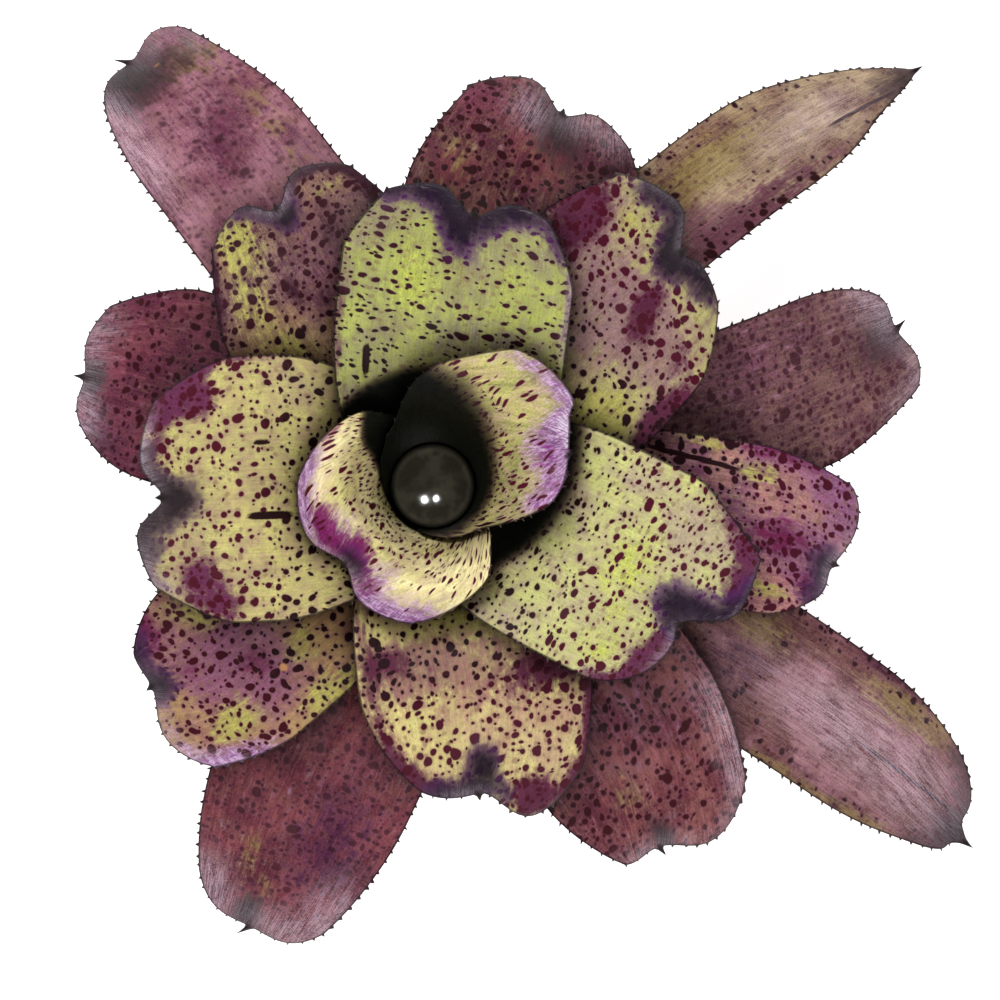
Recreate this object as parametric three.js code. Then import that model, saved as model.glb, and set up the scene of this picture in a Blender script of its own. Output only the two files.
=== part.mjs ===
// Neoregelia bromeliad: a rosette of eighteen broad, spiny-edged leaves on a short cut stem, the
// youngest two rolled into a tank that holds water. Millimetres, +Z up. The plant stands on its
// stem's cut face, and the origin lies on that level, under the middle of the plant's outline.
import * as THREE from "three";

const { degToRad, lerp, smoothstep } = THREE.MathUtils;

// ---- Driving dimensions (mm and degrees) ----

const BLADE_THICKNESS = 0.9;
const MARGIN_THICKNESS = 0.6;
const SEAT_GAP = 0.3; // between a leaf's foot and the stem, and round the water

// The sheaths nest like cups. Each value runs from the youngest leaf to the oldest.
const FOOT_RADIUS = [5.6, 15.8]; // where a sheath leaves the stem
const FOOT_HEIGHT = [46, 14];
const FOOT_RISE = [12, 12]; // degrees above level
const SHOULDER_RADIUS = [15.5, 44]; // where a sheath turns into its blade
const SHOULDER_HEIGHT = [72, 38];
const SHOULDER_RISE = [80, 46]; // degrees above level
const SHEATH_HANDLES = [0.32, 0.42]; // of the chord from foot to shoulder
const BLADE_HANDLES = [0.42, 0.36]; // of the chord from shoulder to tip

const STEM_RADIUS = 15;
const STEM_TOP = 48;
const SCAR_HEIGHTS = [3.2, 6.6, 10]; // rings left by older leaves
const SCAR_RIDGE = 0.4;
const SCAR_DEPTH = 0.7;
const SCAR_HALF_WIDTH = 0.9;

const TANK_LEAVES = 2; // the youngest, which are rolled into the tank
const WATER_LEVEL = 63;
const MENISCUS_HEIGHT = 0.8;
const MENISCUS_WIDTH = 3;

const FOLD_DEPTH = 5; // how far a notched tip is folded down
const FOLD_WIDTH = 9;
const FOLD_LENGTH = 13;

const SPINE_LENGTH = 1.4;
const SPINE_BASE = 1.5;
const TIP_SPINE_LENGTH = 3.6;
const TIP_SPINE_BASE = 2.4;

// The leaves, youngest first: LEAVES has what places and sizes each one, LEAF_ENDS has what shapes its
// end, and what a leaf doesn't state is as in USUAL_LEAF.
//   azimuth    which way the blade points, degrees
//   reach      level distance from the axis to the end of the midrib
//   height     height of that end
//   droop      slope of the midrib there, degrees below level
//   half       half the blade's width, to the left and to the right
//   widest     share of the blade's length at which it is widest
//   cap        length of the rounded end
//   point      how far the end narrows to a point, 0 to 1
//   lobes      how far the left and the right lobe stand out past the end of the midrib
//   notch      half the width of the notch between the lobes
//   slope      how much further the end's left side stands out than its middle
//   lean       how far the end of the midrib lies to the left of the blade's middle
//   bend       sideways curve of the midrib, to the left
//   waist      half the sheath's width at its shoulder
//   cup        rise of the blade's edges above its midrib
//   tuck       how far the left and the right side stay rolled round the axis, 0 to 1
const USUAL_LEAF = {
  widest: 0.45,
  point: 0,
  slope: 0,
  lean: 0,
  bend: 0,
  waist: 36,
  cup: 6,
  tuck: [0, 0],
};
const TANK_LEAF = { waist: 42, cup: 4, cap: 18 };
const LEAVES = [
  { azimuth: 41, reach: 44, height: 111, droop: 6, half: [30, 29] },
  { azimuth: 219.7, reach: 36, height: 99, droop: 38, half: [49, 49] },
  { azimuth: 78, reach: 84, height: 103, droop: 16, half: [38, 33.7], cap: 20 },
  { azimuth: 329.8, reach: 88, height: 98, droop: 18, half: [41, 29], cap: 18.6 },
  { azimuth: 180.4, reach: 83.4, height: 95, droop: 18, half: [41, 41], cap: 25.3 },
  { azimuth: 41.2, reach: 107.5, height: 86, droop: 22, half: [35.8, 36.8], cap: 29 },
  { azimuth: 288, reach: 98, height: 84, droop: 22, half: [34, 40], cap: 42 },
  { azimuth: 120.5, reach: 100, height: 81, droop: 24, half: [34.7, 36.7], cap: 37.6 },
  { azimuth: 356.3, reach: 131, height: 67, droop: 26, half: [24, 28.6], cap: 29 },
  { azimuth: 223.5, reach: 111.5, height: 66, droop: 26, half: [29.5, 33.3], cap: 30 },
  { azimuth: 71, reach: 127, height: 60, droop: 26, half: [37.7, 41], cap: 40 },
  { azimuth: 311.9, reach: 138.8, height: 54, droop: 28, half: [31.5, 36.8], cap: 44 },
  { azimuth: 161.4, reach: 120, height: 46, droop: 28, half: [26.8, 37], cap: 35 },
  { azimuth: 13.5, reach: 160.7, height: 36, droop: 28, half: [23.2, 30.9], cap: 38.7 },
  { azimuth: 247.9, reach: 160, height: 24, droop: 30, half: [33.4, 31.8], cap: 65 },
  { azimuth: 121, reach: 176.7, height: 14, droop: 30, half: [24.4, 32], cap: 57.7 },
  { azimuth: 331.4, reach: 217.6, height: 4, droop: 26, half: [25.3, 23.5], cap: 70 },
  { azimuth: 49.9, reach: 212.5, height: 4.4, droop: 30, half: [21.5, 17.5], cap: 70 },
];
const LEAF_ENDS = [
  { lobes: [6.6, 6], notch: 16, lean: -19, bend: -7, widest: 0.2, point: 0.07, slope: 2, tuck: [0.25, 0.48] },
  { lobes: [8, 8.5], notch: 9, bend: 1.7, widest: 0.32, point: 0.3, slope: 1, tuck: [0.6, 0.67] },
  { lobes: [9.3, 7], notch: 7.4, lean: -1, bend: 4.8, widest: 0.63, slope: -1.8 },
  { lobes: [15, 3.3], notch: 5.9, lean: -2.4, bend: 3.6, widest: 0.29, slope: 2.6 },
  { lobes: [10.4, 7.9], notch: 6.8, lean: 1.4, bend: 1.7, widest: 0.51, slope: -1.4 },
  { lobes: [11, 4], notch: 5.2, lean: -6.7, bend: 9.4, point: 0.04, slope: -2 },
  { lobes: [14.5, 2], notch: 9.8, lean: -10, bend: -5.8, widest: 0.52, slope: -4 },
  { lobes: [9.9, 9.5], notch: 6.4, lean: 1, bend: -3, slope: -1.7 },
  { lobes: [1.3, 6.9], notch: 8.3, lean: -8.5, bend: -8.4, slope: 9.9 },
  { lobes: [7.3, 4.6], notch: 10.8, lean: -11.8, bend: -3.6, widest: 0.41, slope: 1.4 },
  { lobes: [9.4, 7], notch: 7.2, lean: -4.4, bend: 3.9, point: 0.04, slope: 1 },
  { lobes: [8.2, 9.1], notch: 11, lean: -13.2, bend: -10.8, slope: 2.4 },
  { lobes: [3.4, 3.9], notch: 8, bend: 2.6, point: 0.05, slope: -5.6 },
  { lobes: [6.4, 6], notch: 10.5, bend: 15, slope: -8.9 },
  { lobes: [7.5, 6.8], notch: 16, bend: -2.3, widest: 0.7, slope: 3.3 },
  { lobes: [5.7, 11.4], notch: 12, bend: 15, widest: 0.4, slope: -5.6 },
  { lobes: [-13.2, 9.4], notch: 4, lean: -6.9, bend: -15, widest: 0.43, point: 0.18, slope: 15 },
  { lobes: [0, -5], notch: 8, bend: -33, widest: 0.4, point: 0.55, slope: 6, cup: 5 },
];
LEAVES.forEach((leaf, n) => {
  const usual = n < TANK_LEAVES ? { ...USUAL_LEAF, ...TANK_LEAF } : USUAL_LEAF;
  Object.assign(leaf, { ...usual, ...leaf, ...LEAF_ENDS[n] });
});

// ---- Materials ----

const stemMaterial = new THREE.MeshStandardMaterial({ color: 0x8a7350, roughness: 0.85, metalness: 0 });
const waterMaterial = new THREE.MeshStandardMaterial({ color: 0x2a3020, roughness: 0.05, metalness: 0 });
const youngLeafMaterial = new THREE.MeshStandardMaterial({ color: 0xb7bf58, roughness: 0.4, metalness: 0 });
const middleLeafMaterial = new THREE.MeshStandardMaterial({ color: 0x8a6a58, roughness: 0.42, metalness: 0 });
const oldLeafMaterial = new THREE.MeshStandardMaterial({ color: 0x6b3a48, roughness: 0.45, metalness: 0 });

// ---- Leaf surface ----
// A leaf is drawn flat first: t runs along its midrib from the foot and x runs across it, both in mm.
// leafSurface() then says where each flat point lies in space.

const COLUMNS = 8;
const TANK_COLUMNS = 14; // for the two leaves that are rolled into the tank
const SHEATH_ROWS = 4;
const BLADE_ROWS = 5;
const CAP_ROWS = 4;
const LOBE_BLEND = 2; // how gently one lobe's length passes into the other's, across the midrib
const OPEN_FROM = 0.8; // share of the sheath's length at which it starts to open
const OPEN_BY = 0.5; // share of the blade's length at which it has left the sheath's wrap
const TUCK_FROM = 0.3; // share of the half width at which a tucked side is tucked in full
const SHEATH_WRAP = 2; // the furthest that a sheath reaches round the axis to each side, in radians
const TANK_WRAP = 2.6; // the same for the leaves that are rolled into the tank

const UP = new THREE.Vector3(0, 0, 1);

const HALVINGS = 32; // enough to place a height to a millionth of a millimetre

const polar = (radius, angle) => new THREE.Vector2(Math.cos(angle), Math.sin(angle)).multiplyScalar(radius);

// The midrib in the plane of the leaf's azimuth: x is the distance from the axis and y the height.
function midribOf(leaf, age) {
  const foot = new THREE.Vector2(lerp(...FOOT_RADIUS, age), lerp(...FOOT_HEIGHT, age));
  const shoulder = new THREE.Vector2(lerp(...SHOULDER_RADIUS, age), lerp(...SHOULDER_HEIGHT, age));
  const tip = new THREE.Vector2(leaf.reach, leaf.height);
  const sheathChord = foot.distanceTo(shoulder);
  const bladeChord = shoulder.distanceTo(tip);
  const footRise = degToRad(lerp(...FOOT_RISE, age));
  const shoulderRise = degToRad(lerp(...SHOULDER_RISE, age));
  const path = new THREE.CurvePath();
  path.add(
    new THREE.CubicBezierCurve(
      foot,
      foot.clone().add(polar(SHEATH_HANDLES[0] * sheathChord, footRise)),
      shoulder.clone().sub(polar(SHEATH_HANDLES[1] * sheathChord, shoulderRise)),
      shoulder,
    ),
  );
  path.add(
    new THREE.CubicBezierCurve(
      shoulder,
      shoulder.clone().add(polar(BLADE_HANDLES[0] * bladeChord, shoulderRise)),
      tip.clone().sub(polar(BLADE_HANDLES[1] * bladeChord, -degToRad(leaf.droop))),
      tip,
    ),
  );
  const [sheathLength, length] = path.getCurveLengths();
  // Past its end the midrib's line runs straight on, for the lobes that stand out beyond it.
  const pointAt = (t) => {
    if (t <= length) return path.getPoint(Math.max(t, 0) / length);
    const end = path.getPoint(1);
    return end.add(polar(t - length, -degToRad(leaf.droop)));
  };
  return {
    sheathLength,
    length,
    pointAt,
    // The midrib only ever runs outward, so that each radius has one height, found by halving.
    heightAt(radius) {
      let low = 0;
      let high = 2 * length;
      for (let halving = 0; halving < HALVINGS; halving++) {
        const middle = (low + high) / 2;
        if (pointAt(middle).x < radius) low = middle;
        else high = middle;
      }
      return pointAt(low).y;
    },
  };
}

// Half the blade's width, taken as the mean of its two sides.
const meanHalf = (leaf) => (leaf.half[0] + leaf.half[1]) / 2;

// Where a share v of the leaf's width (-1 right margin, 1 left margin) lies at t, before its end rounds
// off.
function acrossAt(leaf, midrib, t, v) {
  const bladeLength = midrib.length - midrib.sheathLength;
  const wrapLimit = LEAVES.indexOf(leaf) < TANK_LEAVES ? TANK_WRAP : SHEATH_WRAP;
  const sheath = Math.min(leaf.waist, wrapLimit * midrib.pointAt(t).x);
  const blade = smoothstep(t, midrib.sheathLength, midrib.sheathLength + leaf.widest * bladeLength);
  const uneven = ((leaf.half[0] - leaf.half[1]) / 2) * blade;
  return v * (lerp(sheath, meanHalf(leaf), blade) + uneven * v);
}

// Where the flat point (t, x) lies in space. Seen from above, the sheath wraps round the plant's axis
// and past its shoulder it opens into a level blade. Its height is that of the midrib at the same
// distance from the axis, so that leaves whose midribs lie one above the other never cross.
function leafSurface(leaf, midrib, t, x) {
  const along = midrib.pointAt(t).x;
  const turn = x / Math.max(along, 1);
  const wrapped = new THREE.Vector2(along * Math.cos(turn), along * Math.sin(turn));
  const bladeRun = Math.max(t - midrib.sheathLength, 0) / (midrib.length - midrib.sheathLength);
  const open = new THREE.Vector2(along, x + leaf.bend * bladeRun * bladeRun);
  const tuck = x < 0 ? leaf.tuck[1] : leaf.tuck[0];
  const tucked = tuck * smoothstep(Math.abs(x), 0, TUCK_FROM * meanHalf(leaf));
  const openEnd = lerp(midrib.sheathLength, midrib.length, OPEN_BY);
  const opening = smoothstep(t, OPEN_FROM * midrib.sheathLength, openEnd);
  const plan = wrapped.lerp(open, opening * (1 - tucked));
  const cupping = leaf.cup * (x / meanHalf(leaf)) ** 2 * bladeRun * bladeRun;
  const z = midrib.heightAt(plan.length()) + cupping - tipFold(leaf, midrib, t, x);
  return new THREE.Vector3(plan.x, plan.y, z).applyAxisAngle(UP, degToRad(leaf.azimuth));
}

// How far the tip turns down about the end of the midrib.
function tipFold(leaf, midrib, t, x) {
  const fromTip = (midrib.length - t) / FOLD_LENGTH;
  const fromMidrib = (x - leaf.lean) / FOLD_WIDTH;
  const depth = leaf.lobes[0] > 0 ? FOLD_DEPTH : 0;
  return depth * Math.exp(-fromTip * fromTip - fromMidrib * fromMidrib);
}

// The flat place of a grid point: row runs from the foot (0) to the end, v across from -1 to 1.
function flatPoint(leaf, midrib, row, v) {
  const capStart = midrib.length - leaf.cap;
  if (row <= SHEATH_ROWS) {
    const t = (midrib.sheathLength * row) / SHEATH_ROWS;
    return new THREE.Vector2(t, acrossAt(leaf, midrib, t, v));
  }
  if (row <= SHEATH_ROWS + BLADE_ROWS) {
    const t = lerp(midrib.sheathLength, capStart, (row - SHEATH_ROWS) / BLADE_ROWS);
    return new THREE.Vector2(t, acrossAt(leaf, midrib, t, v));
  }
  // A square stretched over half a disc, so that the end is round and its rows bow with it.
  const s = (row - SHEATH_ROWS - BLADE_ROWS) / CAP_ROWS;
  const shifted = v + (leaf.lean / meanHalf(leaf)) * Math.SQRT2 * (1 - v * v) * s * s;
  const out = s * Math.sqrt(1 - (shifted * shifted) / 2);
  const t = capStart + leaf.cap * out;
  const narrowing = 1 - leaf.point * out * out;
  const x = acrossAt(leaf, midrib, t, shifted * Math.sqrt(1 - (s * s) / 2)) * narrowing;
  const fromMidrib = x - leaf.lean;
  const side = 1 / (1 + Math.exp(-fromMidrib / LOBE_BLEND));
  const lobe = lerp(leaf.lobes[1], leaf.lobes[0], side) * (1 - Math.exp(-((fromMidrib / leaf.notch) ** 2)));
  return new THREE.Vector2(t + (lobe + (leaf.slope * fromMidrib) / meanHalf(leaf)) * s ** 3, x);
}

// ---- Leaf solid ----

const NORMAL_STEP = 0.2;

// A closed blade: the same triangles on both faces, joined by a rim that carries the spines.
function leafGeometry(leaf, age, columns) {
  const midrib = midribOf(leaf, age);
  const rows = SHEATH_ROWS + BLADE_ROWS + CAP_ROWS;
  // Each flat point: its place, 0 in the middle to 1 at the margin, and whether it is a spine's point
  // or, which has the spine's sharp end too, the end of the midrib.
  const flat = [];
  const indexOf = new Map();
  const addPoint = (key, at, edge, sharp = false, spine = false) => {
    if (!indexOf.has(key)) {
      indexOf.set(key, flat.length);
      flat.push({ at, edge, sharp, spine });
    }
    return indexOf.get(key);
  };

  for (let i = 0; i <= rows; i++) {
    for (let j = 0; j <= columns; j++) {
      const v = (2 * j) / columns - 1;
      const tip = i === rows && 2 * j === columns;
      const at = flatPoint(leaf, midrib, i, v);
      if (tip) at.x += TIP_SPINE_LENGTH;
      addPoint(`${i},${j}`, at, i === rows ? 1 : Math.abs(v), tip);
    }
  }

  // The points that a rim edge from grid point a to b carries between them: a spine, or one side of
  // the tip spine's base.
  const spineOn = (a, b) => {
    const key = `${a}|${b}`;
    const from = flat[indexOf.get(a)];
    const to = flat[indexOf.get(b)];
    const along = to.at.clone().sub(from.at);
    const length = along.length();
    along.normalize();
    if (from.sharp || to.sharp) {
      const tip = from.sharp ? from.at : to.at;
      const side = from.sharp ? 1 : -1;
      const base = new THREE.Vector2(tip.x - TIP_SPINE_LENGTH, tip.y + side * along.y * 0.5 * TIP_SPINE_BASE);
      return [addPoint(key, base, 1)];
    }
    if (Math.max(from.at.x, to.at.x) < midrib.sheathLength || length < 2 * SPINE_BASE) return [];
    const middle = from.at.clone().lerp(to.at, 0.5);
    const outward = new THREE.Vector2(along.y, -along.x);
    return [
      addPoint(`${key}a`, middle.clone().addScaledVector(along, -SPINE_BASE / 2), 1),
      addPoint(`${key}b`, middle.clone().addScaledVector(outward, SPINE_LENGTH), 1, true, true),
      addPoint(`${key}c`, middle.clone().addScaledVector(along, SPINE_BASE / 2), 1),
    ];
  };

  const faces = [];
  const rim = new Map(); // from point to the next one round the outline
  const addRim = (chain) => chain.slice(1).forEach((k, n) => rim.set(chain[n], k));
  // A cell at the rim is a fan from its inner corner, and each spine is one triangle on its side.
  const addRimCell = (centre, chain) => {
    const base = chain.filter((k) => !flat[k].spine);
    for (let n = 1; n < base.length; n++) {
      if (base[n - 1] !== centre && base[n] !== centre) faces.push([centre, base[n - 1], base[n]]);
    }
    chain.forEach((k, n) => {
      if (flat[k].spine) faces.push([chain[n - 1], k, chain[n + 1]]);
    });
  };

  for (let i = 0; i < rows; i++) {
    for (let j = 0; j < columns; j++) {
      const [a, b, c, d] = [`${i},${j}`, `${i + 1},${j}`, `${i + 1},${j + 1}`, `${i},${j + 1}`];
      const [ka, kb, kc, kd] = [a, b, c, d].map((key) => indexOf.get(key));
      const right = j === 0 ? [ka, ...spineOn(a, b), kb] : [ka, kb];
      const end = i === rows - 1 ? [kb, ...spineOn(b, c), kc] : [kb, kc];
      const left = j === columns - 1 ? [kc, ...spineOn(c, d), kd] : [kc, kd];
      if (i === 0) addRim([kd, ka]);
      if (j === 0) addRim(right);
      if (i === rows - 1) addRim(end);
      if (j === columns - 1) addRim(left);
      const centre = j === columns - 1 ? ka : kd;
      addRimCell(centre, [...right.slice(0, -1), ...end.slice(0, -1), ...left, ka]);
    }
  }

  const positions = [];
  const under = flat.map((p, k) => (p.sharp ? k : -1));
  const place = (p, offset) => {
    const middle = leafSurface(leaf, midrib, p.at.x, p.at.y);
    const alongT = leafSurface(leaf, midrib, p.at.x + NORMAL_STEP, p.at.y).sub(middle);
    const alongX = leafSurface(leaf, midrib, p.at.x, p.at.y + NORMAL_STEP).sub(middle);
    return middle.addScaledVector(alongT.cross(alongX).normalize(), offset);
  };
  const halfThickness = (p) => 0.5 * lerp(BLADE_THICKNESS, MARGIN_THICKNESS, p.edge ** 2);
  flat.forEach((p) => positions.push(...place(p, p.sharp ? 0 : halfThickness(p))));
  flat.forEach((p, k) => {
    if (p.sharp) return;
    under[k] = positions.length / 3;
    positions.push(...place(p, -halfThickness(p)));
  });

  const index = [];
  for (const [a, b, c] of faces) index.push(a, b, c, under[a], under[c], under[b]);
  for (const [a, b] of rim) {
    if (under[b] !== b) index.push(b, a, under[b]);
    if (under[a] !== a) index.push(a, under[a], under[b]);
  }
  const geometry = new THREE.BufferGeometry();
  geometry.setAttribute("position", new THREE.Float32BufferAttribute(positions, 3));
  geometry.setIndex(index);
  return geometry;
}

// ---- Stem and water ----

const ROUND_SIDES = 24;

const latheAboutZ = (profile) => new THREE.LatheGeometry(profile, ROUND_SIDES).rotateX(Math.PI / 2);

// How far the stem reaches at a height where leaves stand on it.
function stemRadiusAt(z) {
  const age = (FOOT_HEIGHT[0] - z) / (FOOT_HEIGHT[0] - FOOT_HEIGHT[1]);
  return lerp(...FOOT_RADIUS, age) * Math.cos(SHEATH_WRAP / COLUMNS) - SEAT_GAP;
}

function stemGeometry() {
  const profile = [new THREE.Vector2(0, 0), new THREE.Vector2(STEM_RADIUS, 0)];
  for (const z of SCAR_HEIGHTS) {
    profile.push(new THREE.Vector2(STEM_RADIUS + SCAR_RIDGE, z - SCAR_HALF_WIDTH));
    profile.push(new THREE.Vector2(STEM_RADIUS + SCAR_RIDGE - SCAR_DEPTH, z));
    profile.push(new THREE.Vector2(STEM_RADIUS + SCAR_RIDGE, z + SCAR_HALF_WIDTH));
  }
  const [top, bottom] = FOOT_HEIGHT;
  for (const share of [1, 0.75, 0.5, 0.25, 0]) {
    const z = lerp(top, bottom, share);
    profile.push(new THREE.Vector2(stemRadiusAt(z), z - BLADE_THICKNESS));
  }
  profile.push(new THREE.Vector2(0, STEM_TOP));
  return latheAboutZ(profile);
}

function waterGeometry() {
  const cup = midribOf(LEAVES[0], 0);
  const surface = WATER_LEVEL + MENISCUS_HEIGHT;
  const clearance = BLADE_THICKNESS / 2 + 2 * SEAT_GAP;
  const wall = [];
  for (let row = 1; row <= SHEATH_ROWS; row++) {
    const t = (cup.sheathLength * row) / SHEATH_ROWS;
    const point = cup.pointAt(t);
    const along = cup.pointAt(t + NORMAL_STEP).sub(point).normalize();
    wall.push(point.add(new THREE.Vector2(-along.y, along.x).multiplyScalar(clearance)));
  }
  // The wall is cut off level with the top of the water's raised edge.
  const [below, above] = wall.slice(wall.findIndex((point) => point.y > surface) - 1);
  const edge = lerp(below.x, above.x, (surface - below.y) / (above.y - below.y));
  return latheAboutZ([
    new THREE.Vector2(0, STEM_TOP + SEAT_GAP),
    ...wall.filter((point) => point.y < surface),
    new THREE.Vector2(edge, surface),
    new THREE.Vector2(edge - MENISCUS_WIDTH / 3, WATER_LEVEL + MENISCUS_HEIGHT / 5),
    new THREE.Vector2(edge - MENISCUS_WIDTH, WATER_LEVEL),
    new THREE.Vector2(0, WATER_LEVEL),
  ]);
}

// ---- The plant ----

const plant = new THREE.Group();

function addPiece(name, geometry, material) {
  const piece = new THREE.Mesh(geometry, material);
  piece.name = name;
  plant.add(piece);
}

addPiece("stem", stemGeometry(), stemMaterial);
addPiece("tank_water", waterGeometry(), waterMaterial);
LEAVES.forEach((leaf, n) => {
  const columns = n < TANK_LEAVES ? TANK_COLUMNS : COLUMNS;
  const material = [youngLeafMaterial, middleLeafMaterial, oldLeafMaterial][Math.floor(n / 6)];
  const name = `leaf_${String(n + 1).padStart(2, "0")}`;
  addPiece(name, leafGeometry(leaf, n / (LEAVES.length - 1), columns), material);
});

// Everything above is drawn about the stem's axis.
const outline = new THREE.Box3().setFromObject(plant);
const middle = outline.getCenter(new THREE.Vector3());
plant.position.set(-middle.x, -middle.y, 0);
plant.updateMatrixWorld(true);

export default plant;
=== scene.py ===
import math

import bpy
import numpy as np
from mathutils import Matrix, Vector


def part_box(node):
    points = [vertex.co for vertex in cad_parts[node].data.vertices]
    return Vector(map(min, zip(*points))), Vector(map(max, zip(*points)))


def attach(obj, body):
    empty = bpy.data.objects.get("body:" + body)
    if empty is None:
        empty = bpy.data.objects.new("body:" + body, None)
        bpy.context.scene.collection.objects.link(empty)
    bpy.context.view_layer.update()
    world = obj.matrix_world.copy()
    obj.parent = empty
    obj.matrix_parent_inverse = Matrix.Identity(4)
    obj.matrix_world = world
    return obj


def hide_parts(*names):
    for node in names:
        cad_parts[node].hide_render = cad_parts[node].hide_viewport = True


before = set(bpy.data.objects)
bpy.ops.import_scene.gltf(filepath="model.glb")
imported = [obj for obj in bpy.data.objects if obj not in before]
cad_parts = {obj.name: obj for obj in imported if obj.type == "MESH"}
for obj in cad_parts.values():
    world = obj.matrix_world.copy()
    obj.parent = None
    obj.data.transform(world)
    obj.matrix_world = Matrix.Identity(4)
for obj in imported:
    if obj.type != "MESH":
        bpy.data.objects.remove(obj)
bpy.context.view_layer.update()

# A neoregelia bromeliad, seen from straight above: eighteen spiny-edged leaves, the water in their tank
# and a cut piece of stem. Leaf shapes are worked out in millimetres about the rosette's axis, and turned
# into metres when a mesh is filled.

MM = 0.001
stem_low, stem_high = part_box("stem")
AXIS = (stem_low + stem_high) / 2


def lerp(a, b, share):
    return a + (b - a) * share


def smooth(value, low, high):
    share = np.clip((value - low) / (high - low), 0, 1)
    return share * share * (3 - 2 * share)


def tone(code):
    """A colour code such as "8a7350" as linear light."""
    parts = [int(code[k : k + 2], 16) / 255 for k in (0, 2, 4)]
    return tuple(c / 12.92 if c <= 0.04045 else ((c + 0.055) / 1.055) ** 2.4 for c in parts) + (1.0,)


# ---- Camera and light ----

CAMERA_PLACE = (21.5, -4.5, 990)  # from the axis, mm
CAMERA_LENS = 104.5
CAMERA_SENSOR = 36
LAMP_AIM = 60  # height on the axis that the lamps point at, mm
WARM = (1.0, 0.985, 0.965)


def about_axis(place):
    """A place given in mm from the axis and the floor, in metres."""
    return Vector((AXIS.x, AXIS.y, 0)) + Vector(place) * MM


camera_data = bpy.data.cameras.new("camera")
camera_data.lens = CAMERA_LENS
camera_data.sensor_width = CAMERA_SENSOR
camera = bpy.data.objects.new("camera", camera_data)
bpy.context.scene.collection.objects.link(camera)
camera.location = about_axis(CAMERA_PLACE)
bpy.context.scene.camera = camera
bpy.context.scene.view_settings.view_transform = "Standard"


def add_light(name, place, size, power, hidden=False, colour=(1, 1, 1)):
    """A round lamp, its place and size in mm and its power in watts, pointed at the plant."""
    data = bpy.data.lights.new(name, "AREA")
    data.shape = "DISK"
    data.size = size * MM
    data.energy = power
    data.color = colour
    light = bpy.data.objects.new(name, data)
    bpy.context.scene.collection.objects.link(light)
    light.location = about_axis(place)
    aim = about_axis((0, 0, LAMP_AIM)) - light.location
    light.rotation_euler = aim.to_track_quat("-Z", "Y").to_euler()
    light.visible_camera = not hidden


add_light("softbox_north", (-300, 700, 1050), 560, 8.5, colour=WARM)
add_light("softbox_south", (160, -700, 1100), 560, 6.5, colour=WARM)
add_light("water_glint_left", (-26.6, -4.2, 985), 3.2, 0.010, hidden=True)
add_light("water_glint_right", (-19.2, -3.6, 985), 2.6, 0.007, hidden=True)


# ---- Shader nodes and sums ----


def sum_method(operation, swapped=False):
    """An operator whose value a Math node works out."""

    def method(self, other):
        values = {0: other, 1: self} if swapped else {0: self, 1: other}
        return self.nodes.node("ShaderNodeMath", {"operation": operation}, values)

    return method


class Wire:
    """A socket's value, which can stand in sums."""

    def __init__(self, nodes, socket):
        self.nodes = nodes
        self.socket = socket

    __add__ = __radd__ = sum_method("ADD")
    __mul__ = __rmul__ = sum_method("MULTIPLY")
    __sub__ = sum_method("SUBTRACT")
    __rsub__ = sum_method("SUBTRACT", swapped=True)
    __truediv__ = sum_method("DIVIDE")
    __rtruediv__ = sum_method("DIVIDE", swapped=True)
    most = sum_method("MAXIMUM")

    def swing(self, size):
        """A noise moved to lie about 0 and drawn out."""
        return (self - 0.5) * size

    def scaled(self, *parts):
        return self.nodes.vector("MULTIPLY", self, parts)

    def beside(self, output):
        """Another output of the node that this value comes from."""
        return Wire(self.nodes, self.socket.node.outputs[output])

    def smooth(self, low, high):
        """0 below low and 1 above high, gently between; the other way round where low is above high."""
        values = {"Value": self, "From Min": low, "From Max": high}
        return self.nodes.node("ShaderNodeMapRange", {"interpolation_type": "SMOOTHSTEP"}, values)


NO_SPOT = 4  # how far outside any spot a point counts as where its cell has none, mm


def set_stops(elements, stops):
    """Gives a ramp its stops; it starts with one at each end."""
    for element, (position, colour) in zip(elements, (stops[0], stops[-1])):
        element.position, element.color = position, colour
    for position, colour in stops[1:-1]:
        elements.new(position).color = colour


class Nodes:
    """The nodes of a finish or of the sky, added one by one."""

    def __init__(self, owner):
        owner.use_nodes = True
        self.tree = owner.node_tree

    def set(self, socket, value):
        if isinstance(value, Wire):
            self.tree.links.new(value.socket, socket)
        else:
            socket.default_value = value

    def node(self, kind, settings, values, output=0):
        node = self.tree.nodes.new(kind)
        for name, setting in settings.items():
            if name == "stops":
                set_stops(node.color_ramp.elements, setting)
            else:
                setattr(node, name, setting)
        for key, value in values.items():
            self.set(node.inputs[key], value)
        return Wire(self, node.outputs[output])

    def vector(self, operation, a, b):
        return self.node("ShaderNodeVectorMath", {"operation": operation}, {0: a, 1: b})


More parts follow.
